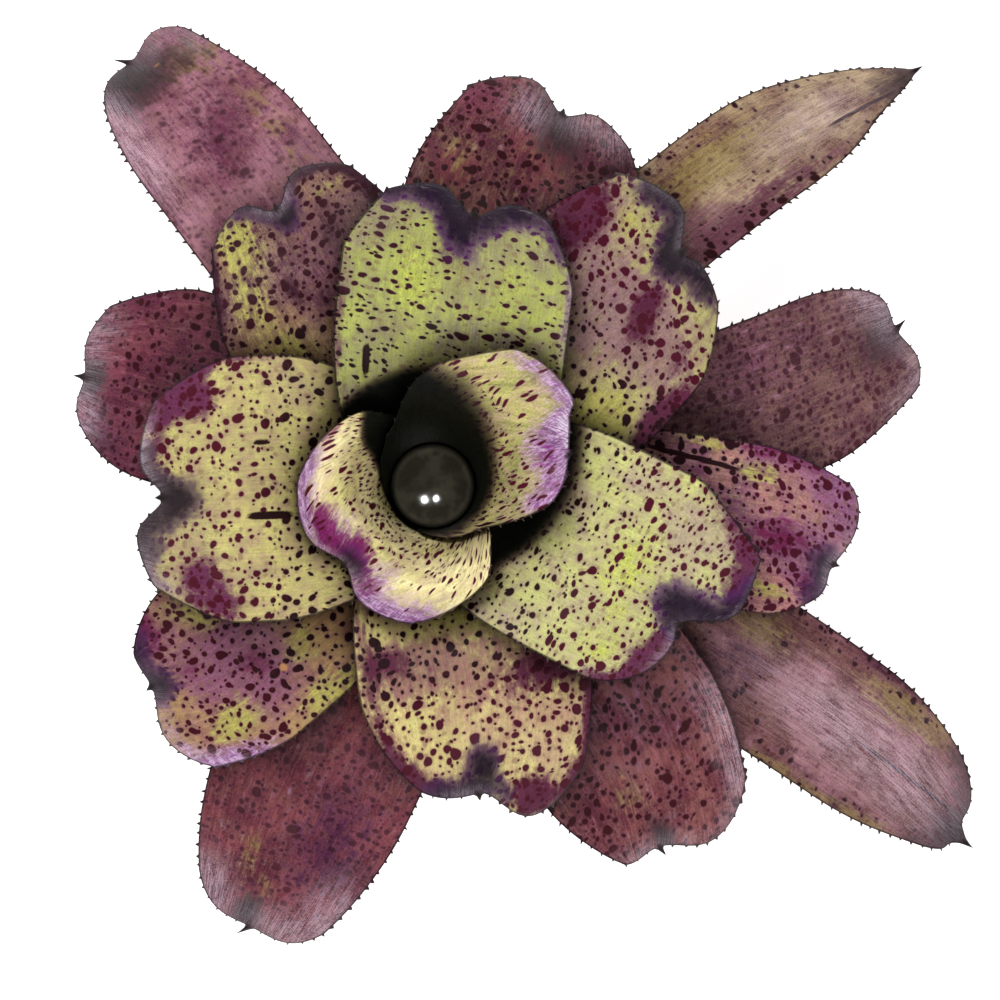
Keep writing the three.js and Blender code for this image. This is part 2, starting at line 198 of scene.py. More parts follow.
class Finish(Nodes):
    """A material, its colour painted layer by layer."""

    def __init__(self, name, colour="000000"):
        self.material = bpy.data.materials.new(name)
        super().__init__(self.material)
        self.shader = self.tree.nodes["Principled BSDF"]
        self.colour = tone(colour)

    def shade(self, **values):
        for name, value in values.items():
            self.set(self.shader.inputs[name.replace("_", " ")], value)

    def mix(self, a, b, factor, blend="MIX"):
        settings = {"data_type": "RGBA", "blend_type": blend, "clamp_factor": True}
        return self.node("ShaderNodeMix", settings, {0: factor, 6: a, 7: b}, 2)

    def paint(self, code, amount, blend="MIX"):
        """Lays a tone over the colour so far."""
        self.colour = self.mix(self.colour, tone(code), amount, blend)

    def attribute(self, name):
        return self.node("ShaderNodeAttribute", {"attribute_name": name}, {}, 2)

    def uv(self, name):
        return self.node("ShaderNodeUVMap", {"uv_map": name}, {})

    def noise(self, place, scale, detail=2.0, roughness=0.5, distortion=0.0, output=0):
        values = {"Vector": place, "Scale": scale, "Detail": detail, "Roughness": roughness}
        return self.node("ShaderNodeTexNoise", {}, {**values, "Distortion": distortion}, output)

    def spots(self, place, cell, radii, much, crowd, offset):
        """How far inside a spot a point is, mm: one spot to a cell, in the share much of the cells."""
        moved = self.vector("ADD", place, (offset, offset * 1.7, 0))
        settings = {"voronoi_dimensions": "2D", "feature": "F1"}
        values = {"Vector": moved, "Scale": 1 / cell, "Randomness": 0.7}
        cells = self.node("ShaderNodeTexVoronoi", settings, values)
        chance = self.node("ShaderNodeSeparateColor", {}, {0: cells.beside("Color")})
        there = (chance + crowd).smooth(1 - much, 1.03 - much)
        radius = chance.beside(1) * (radii[1] - radii[0]) + (radii[0] - NO_SPOT)
        return radius - cells * cell + there * NO_SPOT

    def bump(self, height, strength, distance, normal=None):
        values = {"Strength": strength, "Distance": distance, "Height": height}
        if normal is not None:
            values["Normal"] = normal
        return self.node("ShaderNodeBump", {}, values)


# ---- Leaf shapes ----

# Lengths are in mm and angles in degrees. A midrib rises from its foot to its shoulder, the end of the
# sheath: the pairs of those two hold the youngest leaf's value and the oldest's.
BLADE_THICKNESS = 0.9
MARGIN_THICKNESS = 0.45
FOOT_RADIUS = (5.6, 15.8)
FOOT_HEIGHT = (46, 14)
FOOT_RISE = (12, 12)
SHOULDER_RADIUS = (15.5, 44)
SHOULDER_HEIGHT = (72, 38)
SHOULDER_RISE = (80, 46)
SHEATH_HANDLES = (0.32, 0.42)
BLADE_HANDLES = (0.42, 0.36)
# The leaf opens out flat from this share of the sheath to this share of the way on to the tip.
OPEN_FROM = 0.8
OPEN_BY = 0.5
TUCK_FROM = 0.3
SHEATH_WRAP = 2
TANK_WRAP = 2.6
TANK_LEAVES = 2
LOBE_BLEND = 2
FOLD_DEPTH = 5
FOLD_WIDTH = 9
FOLD_LENGTH = 13

USUAL_LEAF = dict(
    widest=0.45, point=0, slope=0, lean=0, bend=0, waist=36, cup=6, tuck=(0, 0), hook=0, tip_spine=2.6,
    roll=2.4, wrap=SHEATH_WRAP,
)  # fmt: skip
TANK_LEAF = dict(waist=42, cup=4, cap=18, roll=1.2, wrap=TANK_WRAP)
# Old leaves end in a longer spine: how far it hooks to the left.
OLD_TIPS = {12: 0.6, 13: 0.5, 14: 1.5, 15: -3.0, 16: 3.4, 17: 0.4, 18: 0.3}
OLD_TIP_SPINE = 4.6


def grown(azimuth, reach, height, droop, half, lobes, notch, **more):
    """A leaf from the way it points, how far out and how high its midrib ends and how steeply that end
    droops; half its width to the left and right; its end's two lobes and the notch between them. More
    says where it is widest, how its end is rounded (cap), pointed, sloped or leaning, and how it bends."""
    leaf = dict(azimuth=azimuth, reach=reach, height=height, droop=droop, half=half, mean=sum(half) / 2)
    return {**leaf, "lobes": lobes, "notch": notch, **more}


LEAVES = [
    grown(41, 44, 111, 6, (30, 29), (6.6, 6), 16, lean=-19, bend=-7, widest=0.2, point=0.07, slope=2,
        tuck=(0.25, 0.48)),
    grown(219.7, 36, 99, 38, (49, 49), (8, 8.5), 9, bend=1.7, widest=0.32, point=0.3, slope=1,
        tuck=(0.6, 0.67)),
    grown(78, 84, 103, 16, (38, 33.7), (9.3, 7), 7.4, cap=20, lean=-1, bend=4.8, widest=0.63, slope=-1.8),
    grown(329.8, 88, 98, 18, (41, 29), (15, 3.3), 5.9, cap=18.6, lean=-2.4, bend=3.6, widest=0.29,
        slope=2.6),
    grown(180.4, 83.4, 95, 18, (41, 41), (10.4, 7.9), 6.8, cap=25.3, lean=1.4, bend=1.7, widest=0.51,
        slope=-1.4),
    grown(41.2, 107.5, 86, 22, (35.8, 36.8), (11, 4), 5.2, cap=29, lean=-6.7, bend=9.4, point=0.04,
        slope=-2),
    grown(288, 98, 84, 22, (34, 40), (14.5, 2), 9.8, cap=42, lean=-10, bend=-5.8, widest=0.52, slope=-4),
    grown(120.5, 100, 81, 24, (34.7, 36.7), (9.9, 9.5), 6.4, cap=37.6, lean=1, bend=-3, slope=-1.7),
    grown(356.3, 131, 67, 26, (24, 28.6), (1.3, 6.9), 8.3, cap=29, lean=-8.5, bend=-8.4, slope=9.9),
    grown(223.5, 111.5, 66, 26, (29.5, 33.3), (7.3, 4.6), 10.8, cap=30, lean=-11.8, bend=-3.6, widest=0.41,
        slope=1.4),
    grown(71, 127, 60, 26, (37.7, 41), (9.4, 7), 7.2, cap=40, lean=-4.4, bend=3.9, point=0.04, slope=1),
    grown(311.9, 138.8, 54, 28, (31.5, 36.8), (8.2, 9.1), 11, cap=44, lean=-13.2, bend=-10.8, slope=2.4),
    grown(161.4, 120, 46, 28, (26.8, 37), (3.4, 3.9), 8, cap=35, bend=2.6, point=0.05, slope=-5.6),
    grown(13.5, 160.7, 36, 28, (23.2, 30.9), (6.4, 6), 10.5, cap=38.7, bend=15, slope=-8.9),
    grown(247.9, 160, 24, 30, (33.4, 31.8), (7.5, 6.8), 16, cap=65, bend=-2.3, widest=0.7, slope=3.3),
    grown(121, 176.7, 14, 30, (24.4, 32), (5.7, 11.4), 12, cap=57.7, bend=15, widest=0.4, slope=-5.6),
    grown(331.4, 217.6, 4, 26, (25.3, 23.5), (-13.2, 9.4), 4, cap=70, lean=-6.9, bend=-15, widest=0.43,
        point=0.18, slope=15),
    grown(49.9, 212.5, 4.4, 30, (21.5, 17.5), (0, -5), 8, cap=70, bend=-33, widest=0.4, point=0.55, slope=6,
        cup=5),
]  # fmt: skip
for number, leaf in enumerate(LEAVES, 1):
    usual = {**USUAL_LEAF, **(TANK_LEAF if number <= TANK_LEAVES else {})}
    if number in OLD_TIPS:
        usual.update(hook=OLD_TIPS[number], tip_spine=OLD_TIP_SPINE)
    leaf.update({**usual, **leaf})


def polar(radius, degrees):
    return radius * np.array([math.cos(math.radians(degrees)), math.sin(math.radians(degrees))])


def bezier(a, b, c, d):
    u = np.linspace(0, 1, 401)[:, None]
    return (1 - u) ** 3 * a + 3 * (1 - u) ** 2 * u * b + 3 * (1 - u) * u * u * c + u**3 * d


BEYOND_TIP = 80  # how far a midrib's line goes on straight for what lies past its tip, mm


class Midrib:
    """A leaf's midrib as distance from the axis and height, against its length from the foot."""

    def __init__(self, leaf, age):
        foot = np.array([lerp(*FOOT_RADIUS, age), lerp(*FOOT_HEIGHT, age)])
        shoulder = np.array([lerp(*SHOULDER_RADIUS, age), lerp(*SHOULDER_HEIGHT, age)])
        tip = np.array([leaf["reach"], leaf["height"]], float)
        sheath_chord = np.linalg.norm(shoulder - foot)
        blade_chord = np.linalg.norm(tip - shoulder)
        rise = lerp(*SHOULDER_RISE, age)
        sheath = bezier(
            foot,
            foot + polar(SHEATH_HANDLES[0] * sheath_chord, lerp(*FOOT_RISE, age)),
            shoulder - polar(SHEATH_HANDLES[1] * sheath_chord, rise),
            shoulder,
        )
        blade = bezier(
            shoulder,
            shoulder + polar(BLADE_HANDLES[0] * blade_chord, rise),
            tip - polar(BLADE_HANDLES[1] * blade_chord, -leaf["droop"]),
            tip,
        )
        line = np.vstack([sheath, blade[1:]])
        run = np.concatenate([[0], np.cumsum(np.hypot(*np.diff(line, axis=0).T))])
        self.sheath = run[len(sheath) - 1]
        self.length = run[-1]
        self.line = np.vstack([line, line[-1] + polar(BEYOND_TIP, -leaf["droop"])])
        self.run = np.append(run, run[-1] + BEYOND_TIP)

    def out_at(self, t):
        return np.interp(t, self.run, self.line[:, 0])

    def height_at(self, out):
        return np.interp(out, self.line[:, 0], self.line[:, 1])


midribs = [Midrib(leaf, place / (len(LEAVES) - 1)) for place, leaf in enumerate(LEAVES)]


def across(leaf, midrib, t, v):
    """Where the share v of the leaf's width lies at t, in mm to the left of the midrib."""
    sheath = np.minimum(leaf["waist"], leaf["wrap"] * midrib.out_at(t))
    blade = smooth(t, midrib.sheath, midrib.sheath + leaf["widest"] * (midrib.length - midrib.sheath))
    uneven = (leaf["half"][0] - leaf["half"][1]) / 2 * blade
    return v * (lerp(sheath, leaf["mean"], blade) + uneven * v)


def flat_grid(leaf, midrib, run_rows, cap_rows, v):
    """The leaf drawn flat: t along the midrib and x across it, for each row and column."""
    t_run = run_rows[:, None] + 0 * v[None]
    x_run = across(leaf, midrib, run_rows[:, None], v[None])
    s = cap_rows[:, None]
    share = v[None]
    shifted = share + leaf["lean"] / leaf["mean"] * math.sqrt(2) * (1 - share * share) * s * s
    out = s * np.sqrt(1 - shifted * shifted / 2)
    t = midrib.length - leaf["cap"] + leaf["cap"] * out
    x = across(leaf, midrib, t, shifted * np.sqrt(1 - s * s / 2)) * (1 - leaf["point"] * out * out)
    aside = x - leaf["lean"]
    side = 1 / (1 + np.exp(-aside / LOBE_BLEND))
    lobe = lerp(leaf["lobes"][1], leaf["lobes"][0], side) * (1 - np.exp(-((aside / leaf["notch"]) ** 2)))
    t = t + (lobe + leaf["slope"] * aside / leaf["mean"]) * s**3
    return np.vstack([t_run, t]), np.vstack([x_run, x])


def leaf_surface(leaf, midrib, t, x, lift):
    """Where flat points lie in space, in mm about the axis; lift is added to their height."""
    along = midrib.out_at(t)
    turn = x / np.maximum(along, 1)
    run = np.maximum(t - midrib.sheath, 0) / (midrib.length - midrib.sheath)
    tuck = np.where(x < 0, leaf["tuck"][1], leaf["tuck"][0])
    tucked = tuck * smooth(np.abs(x), 0, TUCK_FROM * leaf["mean"])
    open_end = lerp(midrib.sheath, midrib.length, OPEN_BY)
    opened = smooth(t, OPEN_FROM * midrib.sheath, open_end) * (1 - tucked)
    plan_x = lerp(along * np.cos(turn), along, opened)
    plan_y = lerp(along * np.sin(turn), x + leaf["bend"] * run * run, opened)
    depth = FOLD_DEPTH if leaf["lobes"][0] > 0 else 0
    from_tip = (midrib.length - t) / FOLD_LENGTH
    from_midrib = (x - leaf["lean"]) / FOLD_WIDTH
    fold = depth * np.exp(-from_tip * from_tip - from_midrib * from_midrib)
    cupping = leaf["cup"] * (x / leaf["mean"]) ** 2 * run * run
    z = midrib.height_at(np.hypot(plan_x, plan_y)) + cupping - fold + lift
    cos, sin = math.cos(math.radians(leaf["azimuth"])), math.sin(math.radians(leaf["azimuth"]))
    return np.stack([cos * plan_x - sin * plan_y, sin * plan_x + cos * plan_y, z], axis=-1)


# ---- Markings ----
# Each mark is a soft patch on the flat leaf: mm back from the midrib's end, mm to the left, half its
# length, half its width and its strength; then, on some, how deep it hugs the margin in mm (0: not at
# all) and a turn in degrees.

MARKS = {
    1: dict(
        plum=[(7, -8, 5, 4, 0.5), (11, -15, 6, 5, 0.55), (12, -24, 5, 4, 0.55)],
        lilac=[(0, 4, 9, 15, 0.85, 6), (2, -12, 12, 10, 1, 10), (12, -22, 14, 10, 1, 8),
            (10, -12, 9, 9, 0.6)],
        silver=[(-1, -9, 5, 6, 1, 6), (-1, 4, 4, 12, 0.7, 2.5), (9, -20, 6, 5, 0.6, 4)],
        curl=[(1, -9, 4, 5, 0.85), (0, 2, 8, 13, 0.7, 1.6), (8, -18, 8, 8, 0.5, 1.4)],
    ),
    2: dict(
        ink=[(2, 2, 5, 7, 1)],
        plum=[(2, -12, 5, 9, 0.9), (5, 0, 8, 8, 0.85), (1, 10, 5, 6, 0.7), (9, -40, 5, 5, 0.5)],
        lilac=[(0, -24, 9, 15, 1, 8), (0, 20, 9, 16, 1, 8), (4, -6, 9, 9, 0.7), (6, 12, 8, 7, 0.6)],
        silver=[(0, -8, 4, 24, 0.6, 2), (0, 6, 3, 5, 0.6)],
        curl=[(0, -20, 8, 12, 0.6, 1.4)],
    ),
    3: dict(
        ink=[(4, 3, 12, 7, 1), (-5, 9, 14, 9, 1, 9), (-5, 20, 13, 9, 0.8, 5), (-3, -9, 12, 11, 1, 8),
            (6, -22, 12, 9, 0.6, 4)],
        plum=[(44, 33, 20, 8, 0.6, 4), (20, -34, 14, 5, 0.6, 3)],
        haze=[(42, -6, 14, 24, 1), (66, 0, 14, 30, 0.6)],
        green=[(24, 16, 20, 12, 0.6), (20, -14, 12, 10, 0.45)],
        silver=[(24, -34, 14, 4, 0.8, 2)],
        line=[(51.5, 27.1, 5, 1, 1), (28, -35, 4, 1, 1)],
    ),
    4: dict(
        ink=[(5, 4, 8, 7, 1), (1, -2, 8, 5, 0.8, 7), (-5, 8, 9, 6, 1, 8), (-12, 15, 7, 7, 0.7, 4)],
        plum=[(3, -14, 10, 9, 1, 10), (8, -25, 12, 8, 0.8, 4), (-9, 19, 9, 10, 0.9, 10),
            (-4, 30, 12, 8, 0.5, 6), (8, 36, 14, 7, 0.4, 5)],
        haze=[(44, 4, 10, 20, 0.6)],
        green=[(22, 6, 12, 20, 0.65), (14, -20, 14, 8, 0.6)],
        silver=[(0, -10, 6, 8, 0.6, 3)],
    ),
    5: dict(
        ink=[(5, 3, 9, 7, 1), (2, 2, 6, 5, 1), (-4, 13, 11, 8, 0.9, 9), (0, 22, 10, 9, 0.45, 5),
            (-3, -8, 10, 8, 0.8, 6)],
        plum=[(6, -31, 10, 8, 1), (1, -29, 9, 11, 0.9, 9), (13, -27, 7, 6, 0.6), (2, -12, 7, 7, 0.8, 9),
            (13, 27, 8, 9, 0.85), (20, 36, 9, 6, 0.8), (20, -38, 18, 5, 0.6, 3)],
        silver=[(-1, -14, 8, 9, 1, 3), (-1, 24, 8, 11, 0.6, 5)],
        line=[(34.7, 8.5, 8, 1.15, 1), (32, -14.5, 3, 0.9, 0.9)],
    ),
    6: dict(
        ink=[(4, -4, 9, 7, 1), (-4, 7, 12, 11, 0.9, 8), (2, -14, 10, 10, 0.95, 9)],
        plum=[(18, 27, 18, 11, 1), (21, -8, 8, 5, 0.95), (28, -12, 7, 6, 0.75), (24, -26, 10, 6, 0.5),
            (42, -36, 14, 8, 1, 9)],
        haze=[(30, -18, 12, 10, 1), (28, 4, 20, 14, 1), (44, -6, 10, 12, 0.8)],
        green=[(54, -24, 12, 16, 1), (8, 14, 7, 8, 0.8)],
        silver=[(-2, 6, 6, 12, 0.45, 2.5)],
        line=[(55.8, -10.5, 4.5, 1.1, 1, 0, 20)],
    ),
    7: dict(
        ink=[(10, -7, 8, 6, 1), (6, -16, 9, 10, 0.85, 7), (4, 0, 7, 5, 0.8, 6)],
        plum=[(-4, 6, 9, 8, 1), (-2, 18, 10, 8, 0.7, 5), (8, -24, 10, 9, 0.8, 6), (34, 20, 9, 20, 0.85),
            (50, -30, 5, 10, 0.7), (44, -20, 8, 14, 0.4), (48, -28, 26, 8, 0.9, 6),
            (24, -32, 22, 6, 0.7, 4), (14, 30, 24, 6, 0.8, 3.5)],
        haze=[(44, -12, 12, 22, 0.8)],
        green=[(62, 2, 10, 24, 0.9)],
        silver=[(4, -14, 5, 8, 0.5, 3)],
    ),
    8: dict(
        ink=[(4, -1, 7, 6, 1), (-4, 7, 8, 8, 0.8, 5)],
        plum=[(-3, -9, 8, 5, 0.8, 5), (-2, -20, 10, 10, 0.9, 3), (14, -12, 14, 8, 0.55), (26, 8, 7, 4, 0.6),
            (36, 0, 10, 8, 0.5), (8, 31, 26, 8, 0.7, 4), (40, -28, 40, 9, 0.8, 8)],
        haze=[(22, -8, 16, 12, 0.8)],
        green=[(0, 18, 8, 7, 0.8), (4, -14, 5, 7, 0.6), (8, 17, 10, 9, 0.7), (24, 22, 12, 9, 0.6),
            (3, -24, 5, 6, 0.7), (44, 16, 14, 12, 0.6)],
        silver=[(0, 0, 5, 12, 0.6, 3)],
    ),
    9: dict(
        ink=[(4, -9, 8, 6, 0.9), (6, -18, 10, 7, 0.6, 7)],
        plum=[(22, -4, 14, 8, 0.7), (12, -17, 8, 6, 0.6), (20, 22, 20, 5, 0.6, 5), (48, -2, 14, 10, 0.45)],
        haze=[(3, 12, 14, 12, 1, 12)],
        green=[(30, 15, 9, 5, 0.75), (46, 22, 12, 4, 0.75), (24, -21, 9, 5, 0.8), (40, 4, 10, 5, 0.5)],
        silver=[(2, -10, 5, 12, 0.7, 3)],
        line=[(52, 16.6, 16, 0.9, 1, 0, 6)],
    ),
    10: dict(
        ink=[(4, -10, 8, 6, 1), (2, -18, 8, 7, 0.5, 6), (5, -26, 11, 8, 0.6, 9)],
        plum=[(8, -28, 12, 7, 0.6, 6), (34, 4, 8, 8, 0.6), (14, -24, 12, 10, 0.6), (18, -8, 8, 6, 0.5)],
        lilac=[(3, 14, 10, 14, 0.7, 6), (8, 26, 14, 8, 0.8, 6)],
        haze=[(36, 0, 12, 14, 1), (28, 2, 16, 16, 1)],
        green=[(32, -19, 7, 8, 0.8), (49, 8, 9, 7, 0.7), (18, -27, 12, 7, 0.9), (16, 13, 11, 8, 0.9),
            (46, 26, 14, 7, 0.9)],
        silver=[(2, 16, 7, 18, 0.9, 5)],
        scar=[(40, 10.5, 1.6, 2, 1)],
    ),
    11: dict(
        ink=[(5, -4, 11, 10, 0.75), (14, -10, 9, 8, 0.4)],
        plum=[(14, -28, 22, 8, 0.6)],
        haze=[(4, 24, 10, 12, 1)],
        green=[(30, 24, 12, 9, 0.5), (26, 2, 12, 6, 0.35)],
        silver=[(3, 6, 8, 7, 0.8), (4, -17, 8, 11, 0.7, 9)],
    ),
    12: dict(
        ink=[(5, -11, 8, 4, 0.9)],
        haze=[(50, 0, 30, 30, 0.6)],
        green=[(26, -14, 12, 7, 0.5), (62, -20, 16, 10, 0.5)],
        silver=[(12, 24, 26, 10, 1, 8), (2, 4, 8, 10, 0.6, 5), (2, -22, 8, 10, 0.8, 6)],
        line=[(44, 11, 8, 0.5, 0.7), (36, 2, 7, 0.7, 0.5, 0, -10)],
    ),
    13: dict(
        ink=[(3, -1, 6, 5, 0.8), (4, 2, 6, 9, 0.6)],
        plum=[(18, 18, 22, 12, 0.5)],
        silver=[(3, 12, 10, 9, 1, 9), (5, -12, 9, 8, 0.9, 9)],
    ),
    14: dict(
        ink=[(6, 0, 12, 10, 0.7)],
        haze=[(60, 10, 30, 14, 0.6)],
        silver=[(6, 12, 11, 12, 1, 10), (4, -15, 9, 12, 0.6, 6)],
    ),
    15: dict(
        ink=[(6, -3, 9, 5, 1)],
        plum=[(44, 14, 30, 14, 0.6)],
        green=[(33, -10, 8, 4, 0.6), (18, 0, 14, 10, 0.5)],
        silver=[(14, 18, 18, 13, 1, 12), (10, -18, 13, 11, 1, 11), (5, 6, 6, 8, 0.6)],
    ),
    16: dict(
        ink=[(5, 5, 9, 14, 0.95), (18, 10, 12, 6, 0.4), (14, 2, 10, 15, 0.55), (3, -14, 5, 7, 0.4, 3),
            (12, -18, 14, 12, 0.3)],
        plum=[(50, -2, 26, 12, 0.5), (40, -16, 30, 8, 0.35)],
        green=[(14, -14, 12, 12, 0.9), (52, -20, 34, 8, 0.6)],
        silver=[(30, 18, 30, 8, 1, 12), (6, -14, 8, 12, 0.6, 8)],
        scar=[(9, -6, 1.6, 3, 0.6)],
    ),
    17: dict(
        ink=[(6, -6, 9, 5, 1), (2, -2, 20, 24, 0.75), (14, -19, 18, 7, 0.5), (16, 17, 16, 6, 0.5)],
        plum=[(62, 25, 40, 5, 0.6), (70, -20, 40, 5, 0.4), (118, 0, 16, 12, 0.5)],
        green=[(118, 12, 14, 9, 1), (52, 19, 32, 8, 1), (60, -22, 42, 6, 1, 5)],
        silver=[(70, 1, 42, 12, 1), (32, -2, 22, 12, 0.9)],
        line=[(38, 0, 30, 0.8, 0.8)],
    ),
    18: dict(
        ink=[(6, -2, 16, 8, 0.7)],
        plum=[(90, -13, 50, 7, 0.7)],
        haze=[(110, 0, 20, 20, 0.8)],
        green=[(90, 8, 38, 9, 1)],
        silver=[(46, 2, 26, 9, 0.8)],
        line=[(28, -3.5, 20, 0.8, 0.7)],
    ),
}  # fmt: skip
# Among the marks, the pale scurf carries a painted sheen as well, and the curled edges a painted highlight.
MARK_KINDS = ("ink", "plum", "lilac", "haze", "green", "silver", "curl", "scar", "line")


def mark_strength(number, kind, back, x, edge):
    """How strongly one kind of mark shows at each flat point, 0 to 1."""
    clear = np.ones_like(x)
    for at_back, at_x, length, width, strength, *more in MARKS[number].get(kind, ()):
        rim, turn = (*more, 0, 0)[:2]
        cos, sin = math.cos(math.radians(turn)), math.sin(math.radians(turn))
        along = np.abs((back - at_back) * cos + (x - at_x) * sin) / length
        aside = np.abs((x - at_x) * cos - (back - at_back) * sin) / width
        patch = np.exp(-(along**4) - aside**4) if kind == "line" else np.exp(-(along**2) - aside**2)
        if rim:
            patch = np.minimum(patch * 1.5, 1) * (1 - smooth(edge, 0.1 * rim, 1.7 * rim))
        clear *= 1 - strength * patch
    return 1 - clear


# ---- Leaf pieces ----

# How far from the axis the painted shade between the sheaths ends and full daylight begins, mm, then how
# much farther out both are for each mm to the left.
USUAL_PAINTED_SHADE = (38, 50, 0)
PAINTED_SHADE_REACH = {
    3: (34, 40, 0), 4: (33, 41, 0.33), 5: (30, 37, 0), 6: (42, 50, 0), 7: (36, 44, 0), 9: (42, 56, 0),
}  # fmt: skip
# On the two tank leaves, whose tubes are darkened inside by painted shade: mm to the left, and how far back
# from the end the daylight reaches there; then over what way the painted shade fades out, mm.
TANK_PAINTED_DAYLIGHT = (
    ((-24, -18, -9, 0, 9, 20, 27), (52, 46, 36, 26, 20, 17, 18)),
    ((-49, -30, -16, -5, 5, 12, 40), (15, 25, 39, 50, 48, 46, 43)),
)
TANK_PAINTED_SHADE_FADE = ((-9, 13), (-3, 3))
SHADE_LIP = 0.8  # how far past a leaf's margin its shade on the one below is still full, mm
SHADE_REACH = 3.8  # how fast it fades beyond that, mm
OUTLINE_STEPS = (40, 25, 41)  # rows, rows of the rounded end, and columns of an outline seen from above
OUTLINE_FROM = 1.2  # times the sheath's length

LEAF_SEED = 40
ROW_STEP = 1.0
EXTRA_CAP_ROWS = 4
SHEATH_STEP = 3.5
TANK_SHEATH_STEP = 1.4
COLUMNS = 64
TANK_COLUMNS = 96
LOWEST = 0.7  # the blade's middle keeps this far above the floor, mm

SPINE_STEP = 4.4
SPINE_UNEVEN = (0.75, 1.3)
SPINE_LENGTH = (0.6, 1.2)
SPINE_LEAN = 0.45
SPINES_FROM = 1.1  # times the sheath's length
SPINE_STANDS = 2  # how many times its own length a spine's point counts as lying outside the margin
TIP_CLEAR = 3.5  # margin at each side of the end's spine without others, mm
TIP_UPRIGHT = 20  # margin points at each side of it where spines don't lean
TIP_SPINE_REACH = 3.2  # how far from its point the end's spine begins, mm
TIP_SPINE_NARROW = 1.6

# Height, then the length along and across of one radian, all in mm.
LONG_WAVE = (0.45, 9.0, 14.0)
CROSS_WAVE = (0.35, 17.0, 6.5)
DIMPLES = (0.25, 4.6, 5.2)
GROOVE = (0.45, 2.2)  # its depth and width, mm
ROLL_WIDTH = 9

THIN_MARGIN = (-0.5, 5.0)  # from the margin's thickness to the blade's, mm inside it
WALL_LEVELS = 20
UV_SCALE = 100  # mm to a unit of a UV map
FAN_AHEAD = 3.0  # how far past the midrib's end the fan map's point lies, mm
FAN_TURN = 1800  # a radian about that point, in the fan map


def grow_spines(rng, t, x, midrib):
    """Pulls single margin points outward as spines. Returns how far each flat point then stands out, and
    the margin's points in order as they were before."""
    rows, columns = t.shape
    right = [(row, 0) for row in range(rows)]
    end = [(rows - 1, column) for column in range(1, columns - 1)]
    left = [(row, columns - 1) for row in range(rows - 1, -1, -1)]
    loop = right + end + left
    index = tuple(np.array(loop).T)
    place = np.stack([t[index], x[index]], axis=-1)
    run = np.concatenate([[0], np.cumsum(np.hypot(*np.diff(place, axis=0).T))])
    along = np.gradient(place, axis=0)
    along /= np.maximum(np.hypot(*along.T), 1e-6)[:, None]
    outward = np.stack([along[:, 1], -along[:, 0]], axis=-1)
    stands = np.zeros_like(t)
    tip = loop.index((rows - 1, (columns - 1) // 2))
    at = SPINE_STEP
    while at < run[-1]:
        k = int(np.argmin(np.abs(run - at)))
        length = rng.uniform(*SPINE_LENGTH)
        at += SPINE_STEP * rng.uniform(*SPINE_UNEVEN)
        on_sheath = place[k, 0] < midrib.sheath * SPINES_FROM
        if on_sheath or abs(run[k] - run[tip]) < TIP_CLEAR or not 1 < k < len(loop) - 2:
            continue
        lean = SPINE_LEAN * np.sign(tip - k) if abs(k - tip) > TIP_UPRIGHT else 0
        shift = length * (outward[k] + lean * along[k])
        row, column = loop[k]
        t[row, column] += shift[0]
        x[row, column] += shift[1]
        stands[row, column] = length
        for beside in (k - 1, k + 1):
            pull = place[k] - place[beside]
            t[loop[beside]] += 0.5 * pull[0]
            x[loop[beside]] += 0.5 * pull[1]
    return stands, place


def margin_distance(t, x, place):
    """The distance of each flat point from the leaf's margin, foot edge apart."""
    a = place[:-1]
    span = place[1:] - a
    length = np.maximum((span**2).sum(1), 1e-9)
    points = np.stack([t.ravel(), x.ravel()], axis=-1)
    nearest = np.full(len(points), 1e9)
    for first in range(0, len(points), 2000):
        part = points[first : first + 2000, None]
        share = np.clip(((part - a) * span).sum(2) / length, 0, 1)
        gap = part - (a + share[..., None] * span)
        nearest[first : first + 2000] = np.sqrt((gap**2).sum(2)).min(1)
    return nearest.reshape(t.shape)


def margin_in_plan(number):
    """The leaf's margin seen from above, mm about the axis, sheath left out."""
    leaf, midrib = LEAVES[number - 1], midribs[number - 1]
    rows, cap_rows, columns = OUTLINE_STEPS
    run_rows = np.linspace(midrib.sheath * OUTLINE_FROM, midrib.length - leaf["cap"], rows)
    t, x = flat_grid(leaf, midrib, run_rows, np.linspace(0, 1, cap_rows), np.linspace(-1, 1, columns))
    t_loop = np.concatenate([t[:, 0], t[-1], t[::-1, -1]])
    x_loop = np.concatenate([x[:, 0], x[-1], x[::-1, -1]])
    return leaf_surface(leaf, midrib, t_loop, x_loop, 0)[:, :2]


def shade_under(number, points):
    """How much the leaves above shade each point: 1 beneath one and at its margin, less farther out."""
    across_x = (points[..., 0] - AXIS.x) / MM
    across_y = (points[..., 1] - AXIS.y) / MM
    shade = np.zeros_like(across_x)
    for above in range(1, number):
        loop = margin_in_plan(above)
        gap = np.full(shade.shape, 1e9)
        covered = np.zeros(shade.shape, bool)
        for (x_a, y_a), (x_b, y_b) in zip(loop, np.roll(loop, -1, axis=0)):
            gap = np.minimum(gap, (across_x - x_a) ** 2 + (across_y - y_a) ** 2)
            passes = (y_a > across_y) != (y_b > across_y)
            rise = y_b - y_a if abs(y_b - y_a) > 1e-9 else 1e-9
            covered ^= passes & (across_x < x_a + (across_y - y_a) * (x_b - x_a) / rise)
        near = np.exp(-np.maximum(np.sqrt(gap) - SHADE_LIP, 0) / SHADE_REACH)
        shade = np.maximum(shade, np.where(covered, 1, near))
    return shade


